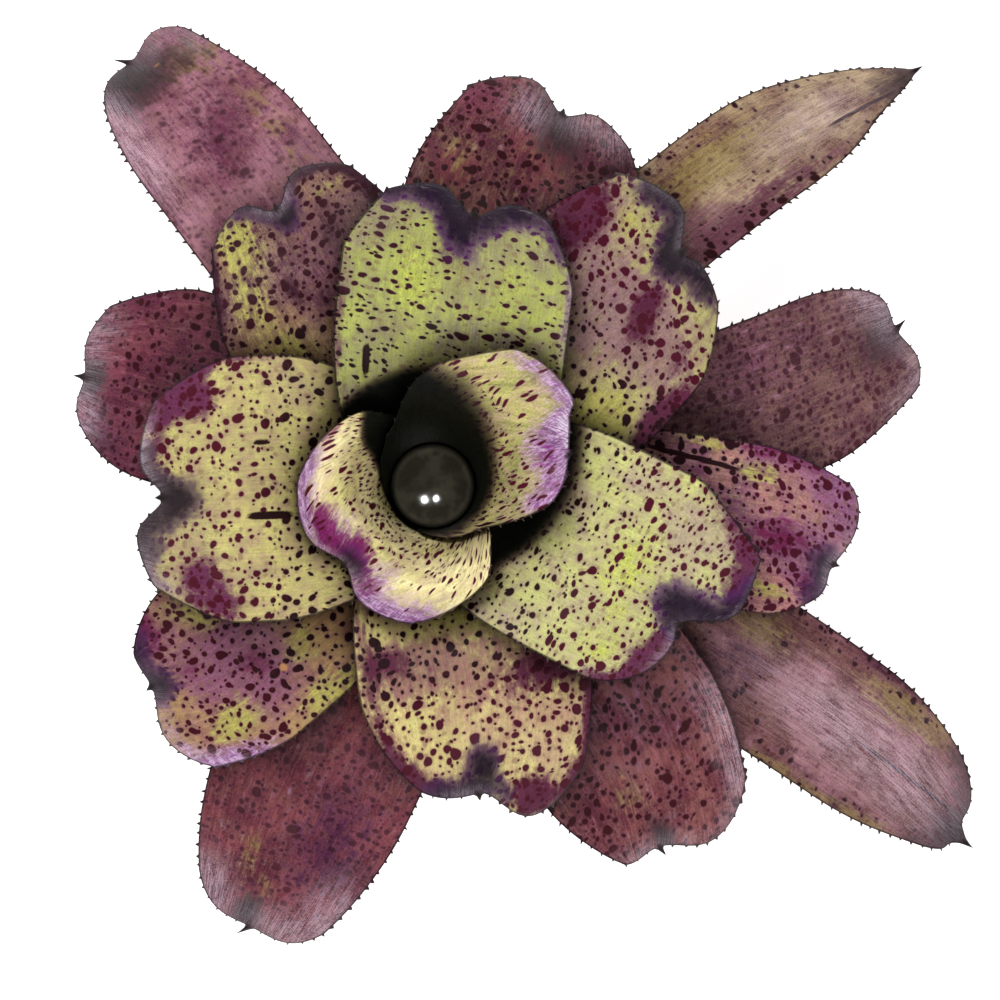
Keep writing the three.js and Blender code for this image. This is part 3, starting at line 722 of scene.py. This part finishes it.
def leaf_grid(number, leaf, midrib):
    """The flat leaf's t and x at each row and column, and each column's share of the width."""
    in_tank = number <= TANK_LEAVES
    cap_start = midrib.length - leaf["cap"]
    sheath_rows = round(midrib.sheath / (TANK_SHEATH_STEP if in_tank else SHEATH_STEP))
    blade_rows = round((cap_start - midrib.sheath) / ROW_STEP)
    cap_rows = round(leaf["cap"] / ROW_STEP) + EXTRA_CAP_ROWS
    sheath = np.linspace(0, midrib.sheath, sheath_rows + 1)[:-1]
    blade = np.linspace(midrib.sheath, cap_start, blade_rows + 1)[:-1]
    v = np.linspace(-1, 1, (TANK_COLUMNS if in_tank else COLUMNS) + 1)
    t, x = flat_grid(leaf, midrib, np.concatenate([sheath, blade]), np.linspace(0, 1, cap_rows + 1), v)
    return t, x, v


def relief(rng, leaf, midrib, run, t, x, edge):
    """How far the fine relief lifts each flat point, mm: a groove over the midrib, gentle waves, and a
    margin that rolls under towards the blade's end."""
    bow = leaf["lean"] * smooth(t, midrib.length - leaf["cap"], midrib.length)
    depth, width = GROOVE
    groove = -depth * np.exp(-(((x - bow) / width) ** 2)) * smooth(run, 0.05, 0.3) * smooth(edge, 0, 6)
    phase = rng.uniform(0, 2 * math.pi, 4)
    height, along, aside = LONG_WAVE
    waves = height * np.sin(t / along + x / aside + phase[0])
    height, along, aside = CROSS_WAVE
    waves = waves + height * np.sin(x / aside - t / along + phase[1])
    height, along, aside = DIMPLES
    waves = waves + height * np.sin(t / along + phase[2]) * np.sin(x / aside + phase[3])
    roll = -leaf["roll"] * np.clip(1 - edge / ROLL_WIDTH, 0, 1.3) ** 2 * smooth(run, 0.55, 0.95)
    return groove + waves * smooth(run, 0.1, 0.7) + roll


def leaf_masks(number, back, x, edge, ahead, points):
    """What the leaf's finish reads at each point: its marks, where it lies, and the painted shade it gets
    deep among the sheaths and beneath the leaves above.
    """
    masks = {kind: mark_strength(number, kind, back, x, edge) for kind in MARK_KINDS}
    # depth is 0 where the painted shade among the sheaths is full and 1 where the leaf shows its own
    # colour.
    if number <= TANK_LEAVES:
        daylight = np.interp(x, *TANK_PAINTED_DAYLIGHT[number - 1])
        masks["depth"] = smooth(daylight - back, *TANK_PAINTED_SHADE_FADE[number - 1])
    else:
        from_axis = np.hypot(points[..., 0] - AXIS.x, points[..., 1] - AXIS.y) / MM
        low, high, tilt = PAINTED_SHADE_REACH.get(number, USUAL_PAINTED_SHADE)
        masks["depth"] = smooth(from_axis - tilt * x, low, high)
    masks["edge"] = edge
    masks["back"] = back
    masks["mucro"] = smooth(ahead, 0.25, 0.6)
    masks["shaded"] = shade_under(number, points)
    return masks


def add_grid(name, rows, columns):
    """A sheet of rows by columns of faces, and where its vertices lie, from -1 to 1 both ways."""
    bpy.ops.object.select_all(action="DESELECT")
    bpy.ops.mesh.primitive_grid_add(x_subdivisions=rows, y_subdivisions=columns, size=2)
    piece = bpy.context.object
    piece.name = piece.data.name = name
    start = np.empty(3 * len(piece.data.vertices))
    piece.data.vertices.foreach_get("co", start)
    return piece, start.reshape(-1, 3)


def store_masks(mesh, masks, row, column):
    for name, values in masks.items():
        store = mesh.attributes.new(name, "FLOAT", "POINT")
        store.data.foreach_set("value", values[row, column].astype(np.float32))


def store_maps(mesh, maps, row, column):
    """Puts a leaf's own UV maps, each from two arrays in mm, in the place of the grid's."""
    corner = np.empty(len(mesh.loops), dtype=np.int32)
    mesh.loops.foreach_get("vertex_index", corner)
    mesh.uv_layers.remove(mesh.uv_layers[0])
    for name, (u_values, v_values) in maps.items():
        layer = mesh.uv_layers.new(name=name)
        pair = np.stack([u_values[row, column], v_values[row, column]], axis=-1) / UV_SCALE
        layer.data.foreach_set("uv", pair[corner].astype(np.float32).ravel())


def thicken(piece, thick):
    """Gives a leaf its wall: the blade's thickness where thick is 1, thinning to the margin's at 0."""
    inner = piece.vertex_groups.new(name="inner")
    for level in range(1, WALL_LEVELS + 1):
        chosen = np.nonzero(np.rint(thick * WALL_LEVELS) == level)[0]
        if len(chosen):
            inner.add([int(k) for k in chosen], level / WALL_LEVELS, "REPLACE")
    wall = piece.modifiers.new("wall", "SOLIDIFY")
    wall.thickness = BLADE_THICKNESS * MM
    wall.offset = 0
    wall.vertex_group = "inner"
    wall.thickness_vertex_group = MARGIN_THICKNESS / BLADE_THICKNESS
    wall.material_offset = 1
    wall.material_offset_rim = 1
    bpy.ops.object.modifier_apply(modifier=wall.name)


def build_leaf(number):
    leaf, midrib = LEAVES[number - 1], midribs[number - 1]
    rng = np.random.default_rng(LEAF_SEED + number)
    t, x, v = leaf_grid(number, leaf, midrib)
    rows, columns = t.shape[0] - 1, t.shape[1] - 1
    stands, margin = grow_spines(rng, t, x, midrib)
    edge = margin_distance(t, x, margin) - SPINE_STANDS * stands
    run = np.clip((t - midrib.sheath) / (midrib.length - midrib.sheath), 0, 1.1)

    # The end's middle runs out into a spine.
    from_tip = np.hypot(t - t[-1, columns // 2], TIP_SPINE_NARROW * (x - x[-1, columns // 2]))
    ahead = np.maximum(1 - from_tip / TIP_SPINE_REACH, 0)
    t = t + leaf["tip_spine"] * ahead**2.5
    x = x + leaf["hook"] * ahead**3

    points = leaf_surface(leaf, midrib, t, x, relief(rng, leaf, midrib, run, t, x, edge)) * MM
    points += np.array([AXIS.x, AXIS.y, 0])
    points[..., 2] = np.maximum(points[..., 2], LOWEST * MM)
    piece, start = add_grid(f"leaf_{number:02d}_blade", rows, columns)
    row = np.rint((start[:, 0] + 1) / 2 * rows).astype(int)
    column = np.rint((start[:, 1] + 1) / 2 * columns).astype(int)
    piece.data.vertices.foreach_set("co", points[row, column].ravel())

    back = midrib.length - t
    store_masks(piece.data, leaf_masks(number, back, x, edge, ahead, points), row, column)
    from_notch = (back + FAN_AHEAD, x - leaf["lean"])
    fan = (np.arctan2(from_notch[1], from_notch[0]) * FAN_TURN, np.hypot(*from_notch) * UV_SCALE)
    grain = (t, v[None] * leaf["mean"] + 0 * t)
    store_maps(piece.data, {"flat": (t, x), "grain": grain, "fan": fan}, row, column)
    piece.data.materials.append(leaf_skin(number))
    piece.data.materials.append(leaf_underside(number))
    thicken(piece, smooth(edge[row, column], *THIN_MARGIN))
    bpy.ops.object.shade_smooth()
    node = f"leaf_{number:02d}"
    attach(piece, "root")
    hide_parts(node)


# ---- Leaf finishes ----
# Each leaf's tones and amounts. ground and second are the blade's own two tones, tan its clouds, far_tone
# the spots' tone away from the tip, ring that of the faint spots, and ink the notch zone's outer and inner
# tone. tan_much and spot_much say how strongly those are laid on, and haze_base how much haze there is
# outside its patches. spots, dots and flecks are the shares of cells that hold a spot of each size; grow
# widens them all, mm, and soft blurs them. stretch and cells set the shape and size of their pattern, lines
# and streaks the fine grain, gloss the roughness, and shade the dark beneath the leaves above.

YOUNG = dict(
    ground="b3b964", second="a19a62", tan="9a8268", tan_much=0.6, plum="581a42", haze="8f6a74",
    haze_base=-0.1, spots=0.5, dots=0.8, flecks=0.7, grow=0.05, spot_tone="1f080b", far_tone="470c1e",
    spot_much=1.0, ring="7a5c48", stretch=(1, 1), cells=1.0, lines=0.32, streaks=0.6, gloss=0.42, soft=0.22,
    ink=("4c2054", "14071a"), shade=0.8,
)  # fmt: skip
TANK = dict(
    YOUNG, tan="b0957a", spots=0.3, dots=0.75, flecks=0.45, spot_tone="280c14", far_tone="4c0f20",
    stretch=(0.5, 1.6), cells=0.84, streaks=1.4, ink=("561a4e", "1a0614"),
)  # fmt: skip
MIDDLE = dict(
    YOUNG, plum="4e1434", haze="8c5f6a", haze_base=0.1, spot_tone="21070e", far_tone="440a1e", lines=0.36,
    streaks=1.0, ink=("432246", "120814"),
)  # fmt: skip
OLD = dict(
    ground="7d4652", second="6c3a48", tan="7a5644", tan_much=0.45, plum="3a1024", haze="70405a",
    haze_base=0.0, spots=0.55, dots=0.9, flecks=0.45, grow=0.12, spot_tone="260509", far_tone="36050f",
    spot_much=1.0, ring="4f2028", stretch=(1.0, 1.0), cells=1.0, lines=0.4, streaks=1.8, gloss=0.42,
    soft=0.45, ink=("40282e", "171010"), shade=0.7,
)  # fmt: skip
LOOKS = {
    1: dict(TANK, ground="b9b468", second="98985a", plum="76206a", haze="9a6e8a"),
    2: dict(TANK, ground="f6eaac", second="dad288", plum="6e0c50", haze="b585a0"),
    3: dict(
        YOUNG, ground="a5ac58", second="8e8858", tan="7c6e66", haze="827468", spots=0.25, dots=0.65,
        flecks=0.5, far_tone="35101c", stretch=(1.3, 0.8), cells=0.9,
    ),
    4: dict(
        YOUNG, ground="c0c278", second="b3a880", tan="9b827c", spots=0.35, dots=0.65, stretch=(1.15, 0.85),
        cells=0.88,
    ),
    5: dict(
        YOUNG, ground="beb670", second="a89e6a", tan="96766a", tan_much=0.65, dots=0.75,
        ink=("54404c", "1c1219"),
    ),
    6: dict(MIDDLE, ground="ada769", second="9e8d6e", tan="91786c", haze="82586a", haze_base=0.0),
    7: dict(MIDDLE, ground="cfc67d", second="bba679", tan="9f7168", haze="7c4458", haze_base=0.05),
    8: dict(
        MIDDLE, ground="886c50", second="5c3941", plum="2d0b20", haze="6a3f50", spot_tone="1a050a",
        far_tone="300714",
    ),
    9: dict(MIDDLE, ground="ad7672", second="86506a", plum="621640", haze="845178", streaks=1.4, shade=0.5),
    10: dict(
        MIDDLE, ground="a98a5b", second="8d5f5a", tan="8c6656", plum="5e1440", haze="7e4a6c",
        far_tone="3a0814",
    ),
    11: dict(
        OLD, ground="73363f", second="542636", tan="69503a", tan_much=0.6, plum="36081c", haze="6a2f48",
        far_tone="2c040a", soft=0.3,
    ),
    12: dict(OLD, ground="834b4b", second="632c37", tan="72524a", plum="3e1023"),
    13: dict(OLD, ground="783849", second="592238", tan="66443c", plum="3a1025"),
    14: dict(
        OLD, ground="6e4a4f", second="5a3942", tan="7c604e", plum="4a2034", spots=0.2, spot_much=0.75,
        shade=0.4,
    ),
    15: dict(
        OLD, ground="793d46", second="5c2535", tan="6a4a40", plum="3f1432", spots=0.15, dots=0.6,
        spot_much=0.7,
    ),
    16: dict(
        OLD, ground="9a6877", second="764355", plum="521a34", spots=0.05, dots=0.14, flecks=0.25,
        spot_much=0.7, soft=0.8,
    ),
    17: dict(
        OLD, ground="956870", second="6a4243", tan="765244", spots=0.0, dots=0.05, flecks=0.1, lines=0.55,
    ),
    18: dict(
        OLD, ground="ac9678", second="785a4d", tan="8e7450", plum="5c3440", spots=0.0, dots=0.05,
        flecks=0.1, lines=0.6,
    ),
}  # fmt: skip
GREEN = {"young": "b9c44a", "middle": "a9a552", "old": "82703e"}
LILAC = ("7c4482", "c09cc4")
SCURF_AND_SHEEN = "d2bccb"
UNDER_SCURF = "b3aaa6"
CURLED_EDGE_HIGHLIGHT = "ddd0e0"
SCAR = "c98f5a"
MARGIN = "16060d"
SPINE = "b9a08c"
TIP_SPINE = "1d1414"
CONTACT_SHADE = "4a3c38"
PAINTED_DUSK_SHADE = "3a2226"  # where daylight fades between the sheaths
PAINTED_DEEP_SHADE = "030705"
UNDER_PAINTED_DEEP_SHADE = "060805"

# Spots of each size: their cells' width and their radii, mm, and a shift that sets the patterns apart.
SPOT_SIZES = {"spots": (8.0, (1.0, 1.7), 0), "dots": (4.6, (0.6, 1.1), 31), "flecks": (3.1, (0.3, 0.6), 57)}
GHOST_SIZE = (3.7, (0.5, 1.0), 83)
GHOSTS = 0.6


def leaf_age(number):
    return "young" if number <= 5 else "middle" if number <= 10 else "old"


class LeafFinish(Finish):
    """One face of a leaf."""

    def __init__(self, number, face, ground):
        super().__init__(f"leaf_{number:02d}_{face}", LOOKS[number][ground])
        self.look = LOOKS[number]
        self.flat = self.uv("flat").scaled(UV_SCALE, UV_SCALE, 1)
        self.grain = self.uv("grain")
        self.edge = self.attribute("edge")
        self.depth = self.attribute("depth")

    def threads(self, along, across, detail=3, roughness=0.65, distortion=0.0):
        """Noise drawn out along the leaf."""
        return self.noise(self.grain.scaled(along, across, 1), 1.0, detail, roughness, distortion)


class LeafSkin(LeafFinish):
    """A leaf's upper face."""

    def __init__(self, number):
        super().__init__(number, "skin", "ground")
        self.number = number
        self.place = self.vector("ADD", self.flat, (number * 3.7, number * 5.1, number * 1.3))
        self.marks = {kind: self.attribute(kind) for kind in MARK_KINDS}
        self.broad = self.noise(self.place, 0.05, 3, 0.55)
        self.patchy = self.noise(self.place, 0.15, 4, 0.6, 0.5)
        self.clumps = self.noise(self.place, 0.45, 3, 0.6, 0.4)
        self.fine = self.noise(self.place, 1.5, 4, 0.7)
        self.weave = self.noise(self.flat.scaled(0.35, 2.6, 1), 0.8, 3, 0.65)
        self.vein = self.threads(3.0, 130.0)
        self.streak = self.threads(10.0, 46.0, 4, 0.68, 0.3)
        self.scurf_lines = self.threads(6.0, 240.0, 3, 0.7)
        self.fan_lines = self.noise(self.uv("fan").scaled(1.0, 0.22, 1), 1.0, 3, 0.65)
        self.streaked = self.streak.swing(self.look["streaks"])
        self.mottled = self.patchy.swing(0.7) + self.clumps.swing(0.6) + self.streaked

    def lay_ground(self):
        """Two tones, tan clouds, greener patches, purple haze, lilac bands and plum patches."""
        look, marks, mottled, weave = self.look, self.marks, self.mottled, self.weave
        self.paint(look["second"], self.broad.smooth(0.4, 0.62))
        cloud = self.patchy + weave.swing(0.6) + self.fine.swing(0.8) + self.streak.swing(0.5)
        self.paint(look["tan"], cloud.smooth(0.38, 0.68) * look["tan_much"])
        haze = marks["haze"] * 0.7 + marks["plum"] * 0.9 + mottled + look["haze_base"]
        self.paint(look["haze"], haze.smooth(0.15, 0.7) * 0.7)
        green = (marks["green"] + mottled * 1.1 - marks["plum"] * 0.6).smooth(0.3, 0.8)
        age = leaf_age(self.number)
        self.paint(GREEN[age], green * (0.7 if age == "old" else 0.8))
        streaks = self.fan_lines + weave.swing(0.5)
        lilac = (marks["lilac"] * 1.1 + mottled * 0.7 + streaks.swing(0.6)).smooth(0.1, 1.0)
        tones = self.mix(tone(LILAC[0]), tone(LILAC[1]), streaks.smooth(0.4, 0.65))
        self.colour = self.mix(self.colour, tones, lilac * 0.95)
        self.blotch = (marks["plum"] * 1.3 + mottled * 1.0 - 0.15).smooth(0.2, 0.8)
        self.paint(look["plum"], self.blotch * 0.94)

    def draw_grain(self):
        """Fine veins and mottling."""
        mottle = self.fine.swing(1.8) + self.weave.swing(0.8) + self.streaked
        mottle = mottle + self.vein.swing(2) * self.look["lines"]
        channels = {0: mottle + 1, 1: mottle * 1.05 + 1, 2: mottle * 0.9 + 1}
        shade = self.node("ShaderNodeCombineColor", {}, channels)
        self.colour = self.mix(self.colour, shade, 1.0, "MULTIPLY")

    def draw_spots(self):
        """Spots in three sizes, crowded where the leaf is plum, and faint ones among them."""
        look, marks, clumps = self.look, self.marks, self.clumps
        sway = self.vector("SUBTRACT", self.noise(self.place, 0.12, 1, output=1), (0.5, 0.5, 0.5))
        bent = self.vector("ADD", self.place, sway.scaled(4, 4, 0))
        drawn = bent.scaled(*(part / look["cells"] for part in look["stretch"]), 1)
        back = self.attribute("back")
        crowd = self.broad.swing(0.7) + marks["plum"] * 0.3 + self.edge.smooth(7, 2) * 0.15
        crowd = crowd - marks["silver"] * 0.3 - marks["lilac"] * 0.35 + self.depth.smooth(1.0, 0.6) * 0.3
        if self.number <= TANK_LEAVES:
            crowd = crowd + back.smooth(8, 30) * 0.5 - 0.3
        large, middling, small = (
            self.spots(drawn, cell, radii, look[size], crowd, shift)
            for size, (cell, radii, shift) in SPOT_SIZES.items()
        )
        inside = large.most(middling).most(small) + marks["plum"] * 0.15
        self.inside = inside + clumps.swing(0.3) + self.fine.swing(0.3) + look["grow"]
        cell, radii, shift = GHOST_SIZE
        ghosts = self.spots(drawn, cell, radii, GHOSTS, crowd, shift).smooth(-0.3, 0.4)
        clear = 1 - self.blotch
        self.paint(look["ring"], ghosts * 0.55 * clear)
        self.paint(look["haze"], self.inside.smooth(-0.9, 0.2) * 0.3 * clear)
        far = (back.smooth(52, 18) + clumps.swing(1.5)).smooth(0.1, 0.9)
        spot = self.mix(tone(look["spot_tone"]), tone(look["far_tone"]), far)
        soft = look["soft"]
        cover = self.inside.smooth(-0.05 - soft * 0.6, soft) * look["spot_much"]
        self.colour = self.mix(self.colour, spot, cover)
        self.paint(look["spot_tone"], (marks["line"] + self.fine.swing(0.5)).smooth(0.3, 0.6))

    def draw_notch(self):
        """The dark zone round the notch, feathered along the veins, and the pale scurf over it with a
        painted sheen and painted glints; then a painted highlight on curled edges, and scars.
        """
        look, marks, fan_lines, fine = self.look, self.marks, self.fan_lines, self.fine
        ink = marks["ink"] * 1.2 + fan_lines.swing(0.3) + fine.swing(0.3) + self.mottled * 0.7
        self.paint(look["ink"][0], ink.smooth(0.2, 0.65) * 0.85)
        self.paint(look["ink"][1], ink.smooth(0.5, 1.15) * 0.92)
        # Pale hairs at the notch with painted glints on them, and pale scurf with a painted sheen.
        near_edge = self.edge.smooth(4, 0.5) * 0.25 + 0.04
        hairs_and_glints = fan_lines.smooth(0.54, 0.74) * ink.smooth(0.3, 0.9) * near_edge
        scurf = (self.scurf_lines * 0.6 + fine * 0.4 + self.streak.swing(0.4)).smooth(0.36, 0.66)
        self.paint(SCURF_AND_SHEEN, (marks["silver"] * scurf).most(hairs_and_glints) * 0.62)
        # Painted highlight where the margin curls under.
        curl = marks["curl"] + fan_lines.swing(3.2) + self.scurf_lines.swing(0.9) + (fine - 0.5)
        self.paint(CURLED_EDGE_HIGHLIGHT, curl.smooth(0.4, 1.15) * marks["curl"].smooth(0.0, 0.3) * 0.85)
        self.paint(SCAR, marks["scar"].smooth(0.4, 0.8) * 0.85)

    def draw_edges(self):
        """The dark margin and its spines, then the painted shade of the leaves above, and the painted shade
        deep in the tank and among the sheaths.
        """
        self.paint(MARGIN, self.edge.smooth(0.8, 0.25) * 0.85)
        self.paint(SPINE, self.edge.smooth(-0.7, -1.5))
        self.paint(CONTACT_SHADE, self.attribute("shaded") * self.look["shade"], "MULTIPLY")
        self.paint(TIP_SPINE, self.attribute("mucro"))
        # Painted shade deep in the tank and among the sheaths: a dusky tone, then near black.
        self.paint(PAINTED_DUSK_SHADE, self.depth.smooth(0.95, 0.35) * 0.75)
        self.colour = self.mix(tone(PAINTED_DEEP_SHADE), self.colour, self.depth.smooth(0.0, 0.75) * 0.98 + 0.02)


def leaf_skin(number):
    finish = LeafSkin(number)
    finish.lay_ground()
    finish.draw_grain()
    finish.draw_spots()
    finish.draw_notch()
    finish.draw_edges()
    normal = finish.bump(finish.vein, 0.3, 0.0004)
    normal = finish.bump(finish.fine + finish.inside.smooth(0, 0.3) * 0.4, 0.2, 0.0004, normal)
    roughness = finish.look["gloss"] + finish.fine.swing(0.2) + finish.marks["silver"] * 0.1
    finish.shade(Base_Color=finish.colour, Roughness=roughness, Normal=normal, Specular_IOR_Level=0.09)
    return finish.material


def leaf_underside(number):
    finish = LeafFinish(number, "underside", "second")
    scurf = finish.threads(10.0, 260.0, 3, 0.7)
    broad = finish.noise(finish.flat, 0.07, 3, 0.6)
    finish.paint(finish.look["plum"], broad.smooth(0.35, 0.7) * 0.7)
    finish.paint(UNDER_SCURF, scurf.smooth(0.42, 0.62) * 0.45)
    finish.paint(MARGIN, finish.edge.smooth(1.2, 0.5))
    finish.paint(SPINE, finish.edge.smooth(-0.7, -1.5))
    # Painted shade, near black where the underside lies deep among the sheaths.
    skin = finish.mix(tone(UNDER_PAINTED_DEEP_SHADE), finish.colour, finish.depth * 0.95 + 0.05)
    normal = finish.bump(scurf, 0.3, 0.0003)
    finish.shade(Base_Color=skin, Roughness=0.6 + scurf.swing(0.2), Normal=normal, Specular_IOR_Level=0.1)
    return finish.material


# ---- Stem and water ----


SIDES = 96
ON_AXIS = 0.01  # the least radius of a turned profile, mm
# Radius and height of the stem's cut end, then of each ring left by a leaf, from that ring's middle, mm.
STEM_END = ((ON_AXIS, 0), (6, 0), (14.2, 0), (15.0, 0.5))
LEAF_RING = ((15.1, -1.4), (15.4, -0.9), (14.9, -0.35), (14.75, 0), (14.9, 0.35), (15.4, 0.9))
RING_HEIGHTS = (3.2, 6.6, 10.0)
SHEATH_GAP = 0.3
BARK = "8a7350"
BARK_PATCH = "5a4128"
BARK_FIBRE = "3b2a1a"

WATER_DROP = 0.8  # the surface below the solid's top, mm
WATER_GAP = 0.6  # the water from the sheath's wall, mm
WATER = "35342a"
SILT = "4e4c3f"
WATER_RING_REFLECTION = "6f6858"
WATER_EDGE_SHADE = "15130d"


def lathe(name, profile, sides):
    """A solid turned about the axis, from a profile of radii and heights in mm, bottom first."""
    piece, start = add_grid(name, sides, len(profile) - 1)
    turn = (start[:, 0] + 1) * math.pi
    step = np.rint((start[:, 1] + 1) / 2 * (len(profile) - 1)).astype(int)
    radius, height = np.array(profile)[step].T * MM
    points = np.stack([AXIS.x + radius * np.cos(turn), AXIS.y + radius * np.sin(turn), height], axis=-1)
    piece.data.vertices.foreach_set("co", points.ravel())
    bpy.ops.object.mode_set(mode="EDIT")
    bpy.ops.mesh.select_all(action="SELECT")
    bpy.ops.mesh.remove_doubles(threshold=0.00001)
    bpy.ops.mesh.normals_make_consistent(inside=False)
    bpy.ops.object.mode_set(mode="OBJECT")
    bpy.ops.object.shade_smooth_by_angle(angle=math.radians(40))
    return piece


def build_stem():
    profile = list(STEM_END)
    for middle in RING_HEIGHTS:
        profile += [(radius, middle + height) for radius, height in LEAF_RING]
    for age in np.linspace(1, 0, 9):
        radius = lerp(*FOOT_RADIUS, age) * math.cos(SHEATH_WRAP / 8) - SHEATH_GAP
        profile.append((radius, lerp(*FOOT_HEIGHT, age) - BLADE_THICKNESS))
    profile.append((ON_AXIS, stem_high.z / MM))
    piece = lathe("stem_core", profile, SIDES)
    finish = Finish("stem_fibre", BARK)
    place = finish.node("ShaderNodeTexCoord", {}, {}, 3)
    fibre = finish.noise(place.scaled(500, 500, 40), 1.0, 4, 0.65)
    finish.paint(BARK_PATCH, finish.noise(place, 120, 3, 0.6).smooth(0.4, 0.65))
    finish.paint(BARK_FIBRE, fibre.smooth(0.5, 0.7) * 0.8)
    finish.shade(Base_Color=finish.colour, Roughness=0.85, Normal=finish.bump(fibre, 0.6, 0.0006))
    piece.data.materials.append(finish.material)
    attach(piece, "root")
    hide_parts("stem")


def build_water():
    """The water keeps just clear of the youngest leaf's sheath, up to its level."""
    low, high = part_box("tank_water")
    top = high.z / MM
    level = top - WATER_DROP
    cup = midribs[0]
    profile = [(ON_AXIS, low.z / MM)]
    for t in np.linspace(2, cup.sheath, 40):
        step = 0.2
        here = np.array([cup.out_at(t), np.interp(t, cup.run, cup.line[:, 1])])
        ahead = np.array([cup.out_at(t + step), np.interp(t + step, cup.run, cup.line[:, 1])])
        along = (ahead - here) / np.linalg.norm(ahead - here)
        wall = here + np.array([-along[1], along[0]]) * (BLADE_THICKNESS / 2 + WATER_GAP)
        if profile[-1][1] < wall[1] < top and wall[0] > profile[-1][0]:
            profile.append(tuple(wall))
    edge = profile[-1][0] + 0.1
    profile += [(edge * share, level) for share in (1, 0.97, 0.8, 0.6, 0.4, 0.2)] + [(ON_AXIS, level)]
    piece = lathe("tank_water_pool", profile, SIDES)
    finish = Finish("dark_water", WATER)
    place = finish.node("ShaderNodeTexCoord", {}, {}, 3)
    silt = finish.noise(place, 140, 3, 0.6)
    from_axis = finish.vector("SUBTRACT", place, tuple(AXIS)).scaled(1, 1, 0)
    reach = finish.node("ShaderNodeVectorMath", {"operation": "LENGTH"}, {0: from_axis}, 1)
    reach = reach / (edge * MM) + silt.swing(0.12)
    finish.paint(SILT, silt.smooth(0.4, 0.65))
    # A faint pale ring painted as a reflection on the water, and a dark band at its rim painted as shade
    # from the sheath wall.
    finish.paint(WATER_RING_REFLECTION, reach.smooth(0.78, 0.84) * reach.smooth(0.93, 0.86) * 0.15)
    finish.paint(WATER_EDGE_SHADE, reach.smooth(0.88, 0.98))
    finish.shade(Base_Color=finish.colour, Roughness=0.02, IOR=1.33)
    piece.data.materials.append(finish.material)
    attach(piece, "root")
    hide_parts("tank_water")


# ---- Floor and surroundings ----


FLOOR_SIZE = 6
FLOOR_GLOW = 0.75
# How bright the surroundings are between the horizon, at 0, and straight overhead, at 1.
SKY = ((0.3, 0.9), (0.6, 1.15), (0.8, 0.85), (0.92, 0.3), (0.985, 0.1))
SKY_BLUE = 1.02  # how much brighter blue is there than red and green
HORIZON = (0.45, 0.45, 0.48, 1)
OVERHEAD = (0.10, 0.10, 0.10, 1)
SKY_STRENGTH = 0.7


def build_floor():
    bpy.ops.object.select_all(action="DESELECT")
    bpy.ops.mesh.primitive_plane_add(size=FLOOR_SIZE, location=(0, 0, -0.0002))
    floor = bpy.context.object
    floor.name = "studio_floor"
    finish = Finish("pale_floor")
    finish.shade(Base_Color=(0.8, 0.8, 0.8, 1), Roughness=0.9)
    finish.shade(Emission_Color=(1, 1, 1, 1), Emission_Strength=FLOOR_GLOW)
    floor.data.materials.append(finish.material)


def light_the_sky():
    world = bpy.data.worlds.new("studio")
    bpy.context.scene.world = world
    sky = Nodes(world)
    direction = sky.node("ShaderNodeTexCoord", {}, {})
    upward = sky.node("ShaderNodeSeparateXYZ", {}, {0: direction}, 2)
    greys = [(position, (level, level, level * SKY_BLUE, 1)) for position, level in SKY]
    stops = [(0, HORIZON), *greys, (1, OVERHEAD)]
    background = sky.tree.nodes["Background"]
    sky.set(background.inputs[0], sky.node("ShaderNodeValToRGB", {"stops": stops}, {0: upward}))
    sky.set(background.inputs[1], SKY_STRENGTH)


build_floor()
light_the_sky()
build_stem()
build_water()
for leaf_number in range(1, len(LEAVES) + 1):
    build_leaf(leaf_number)
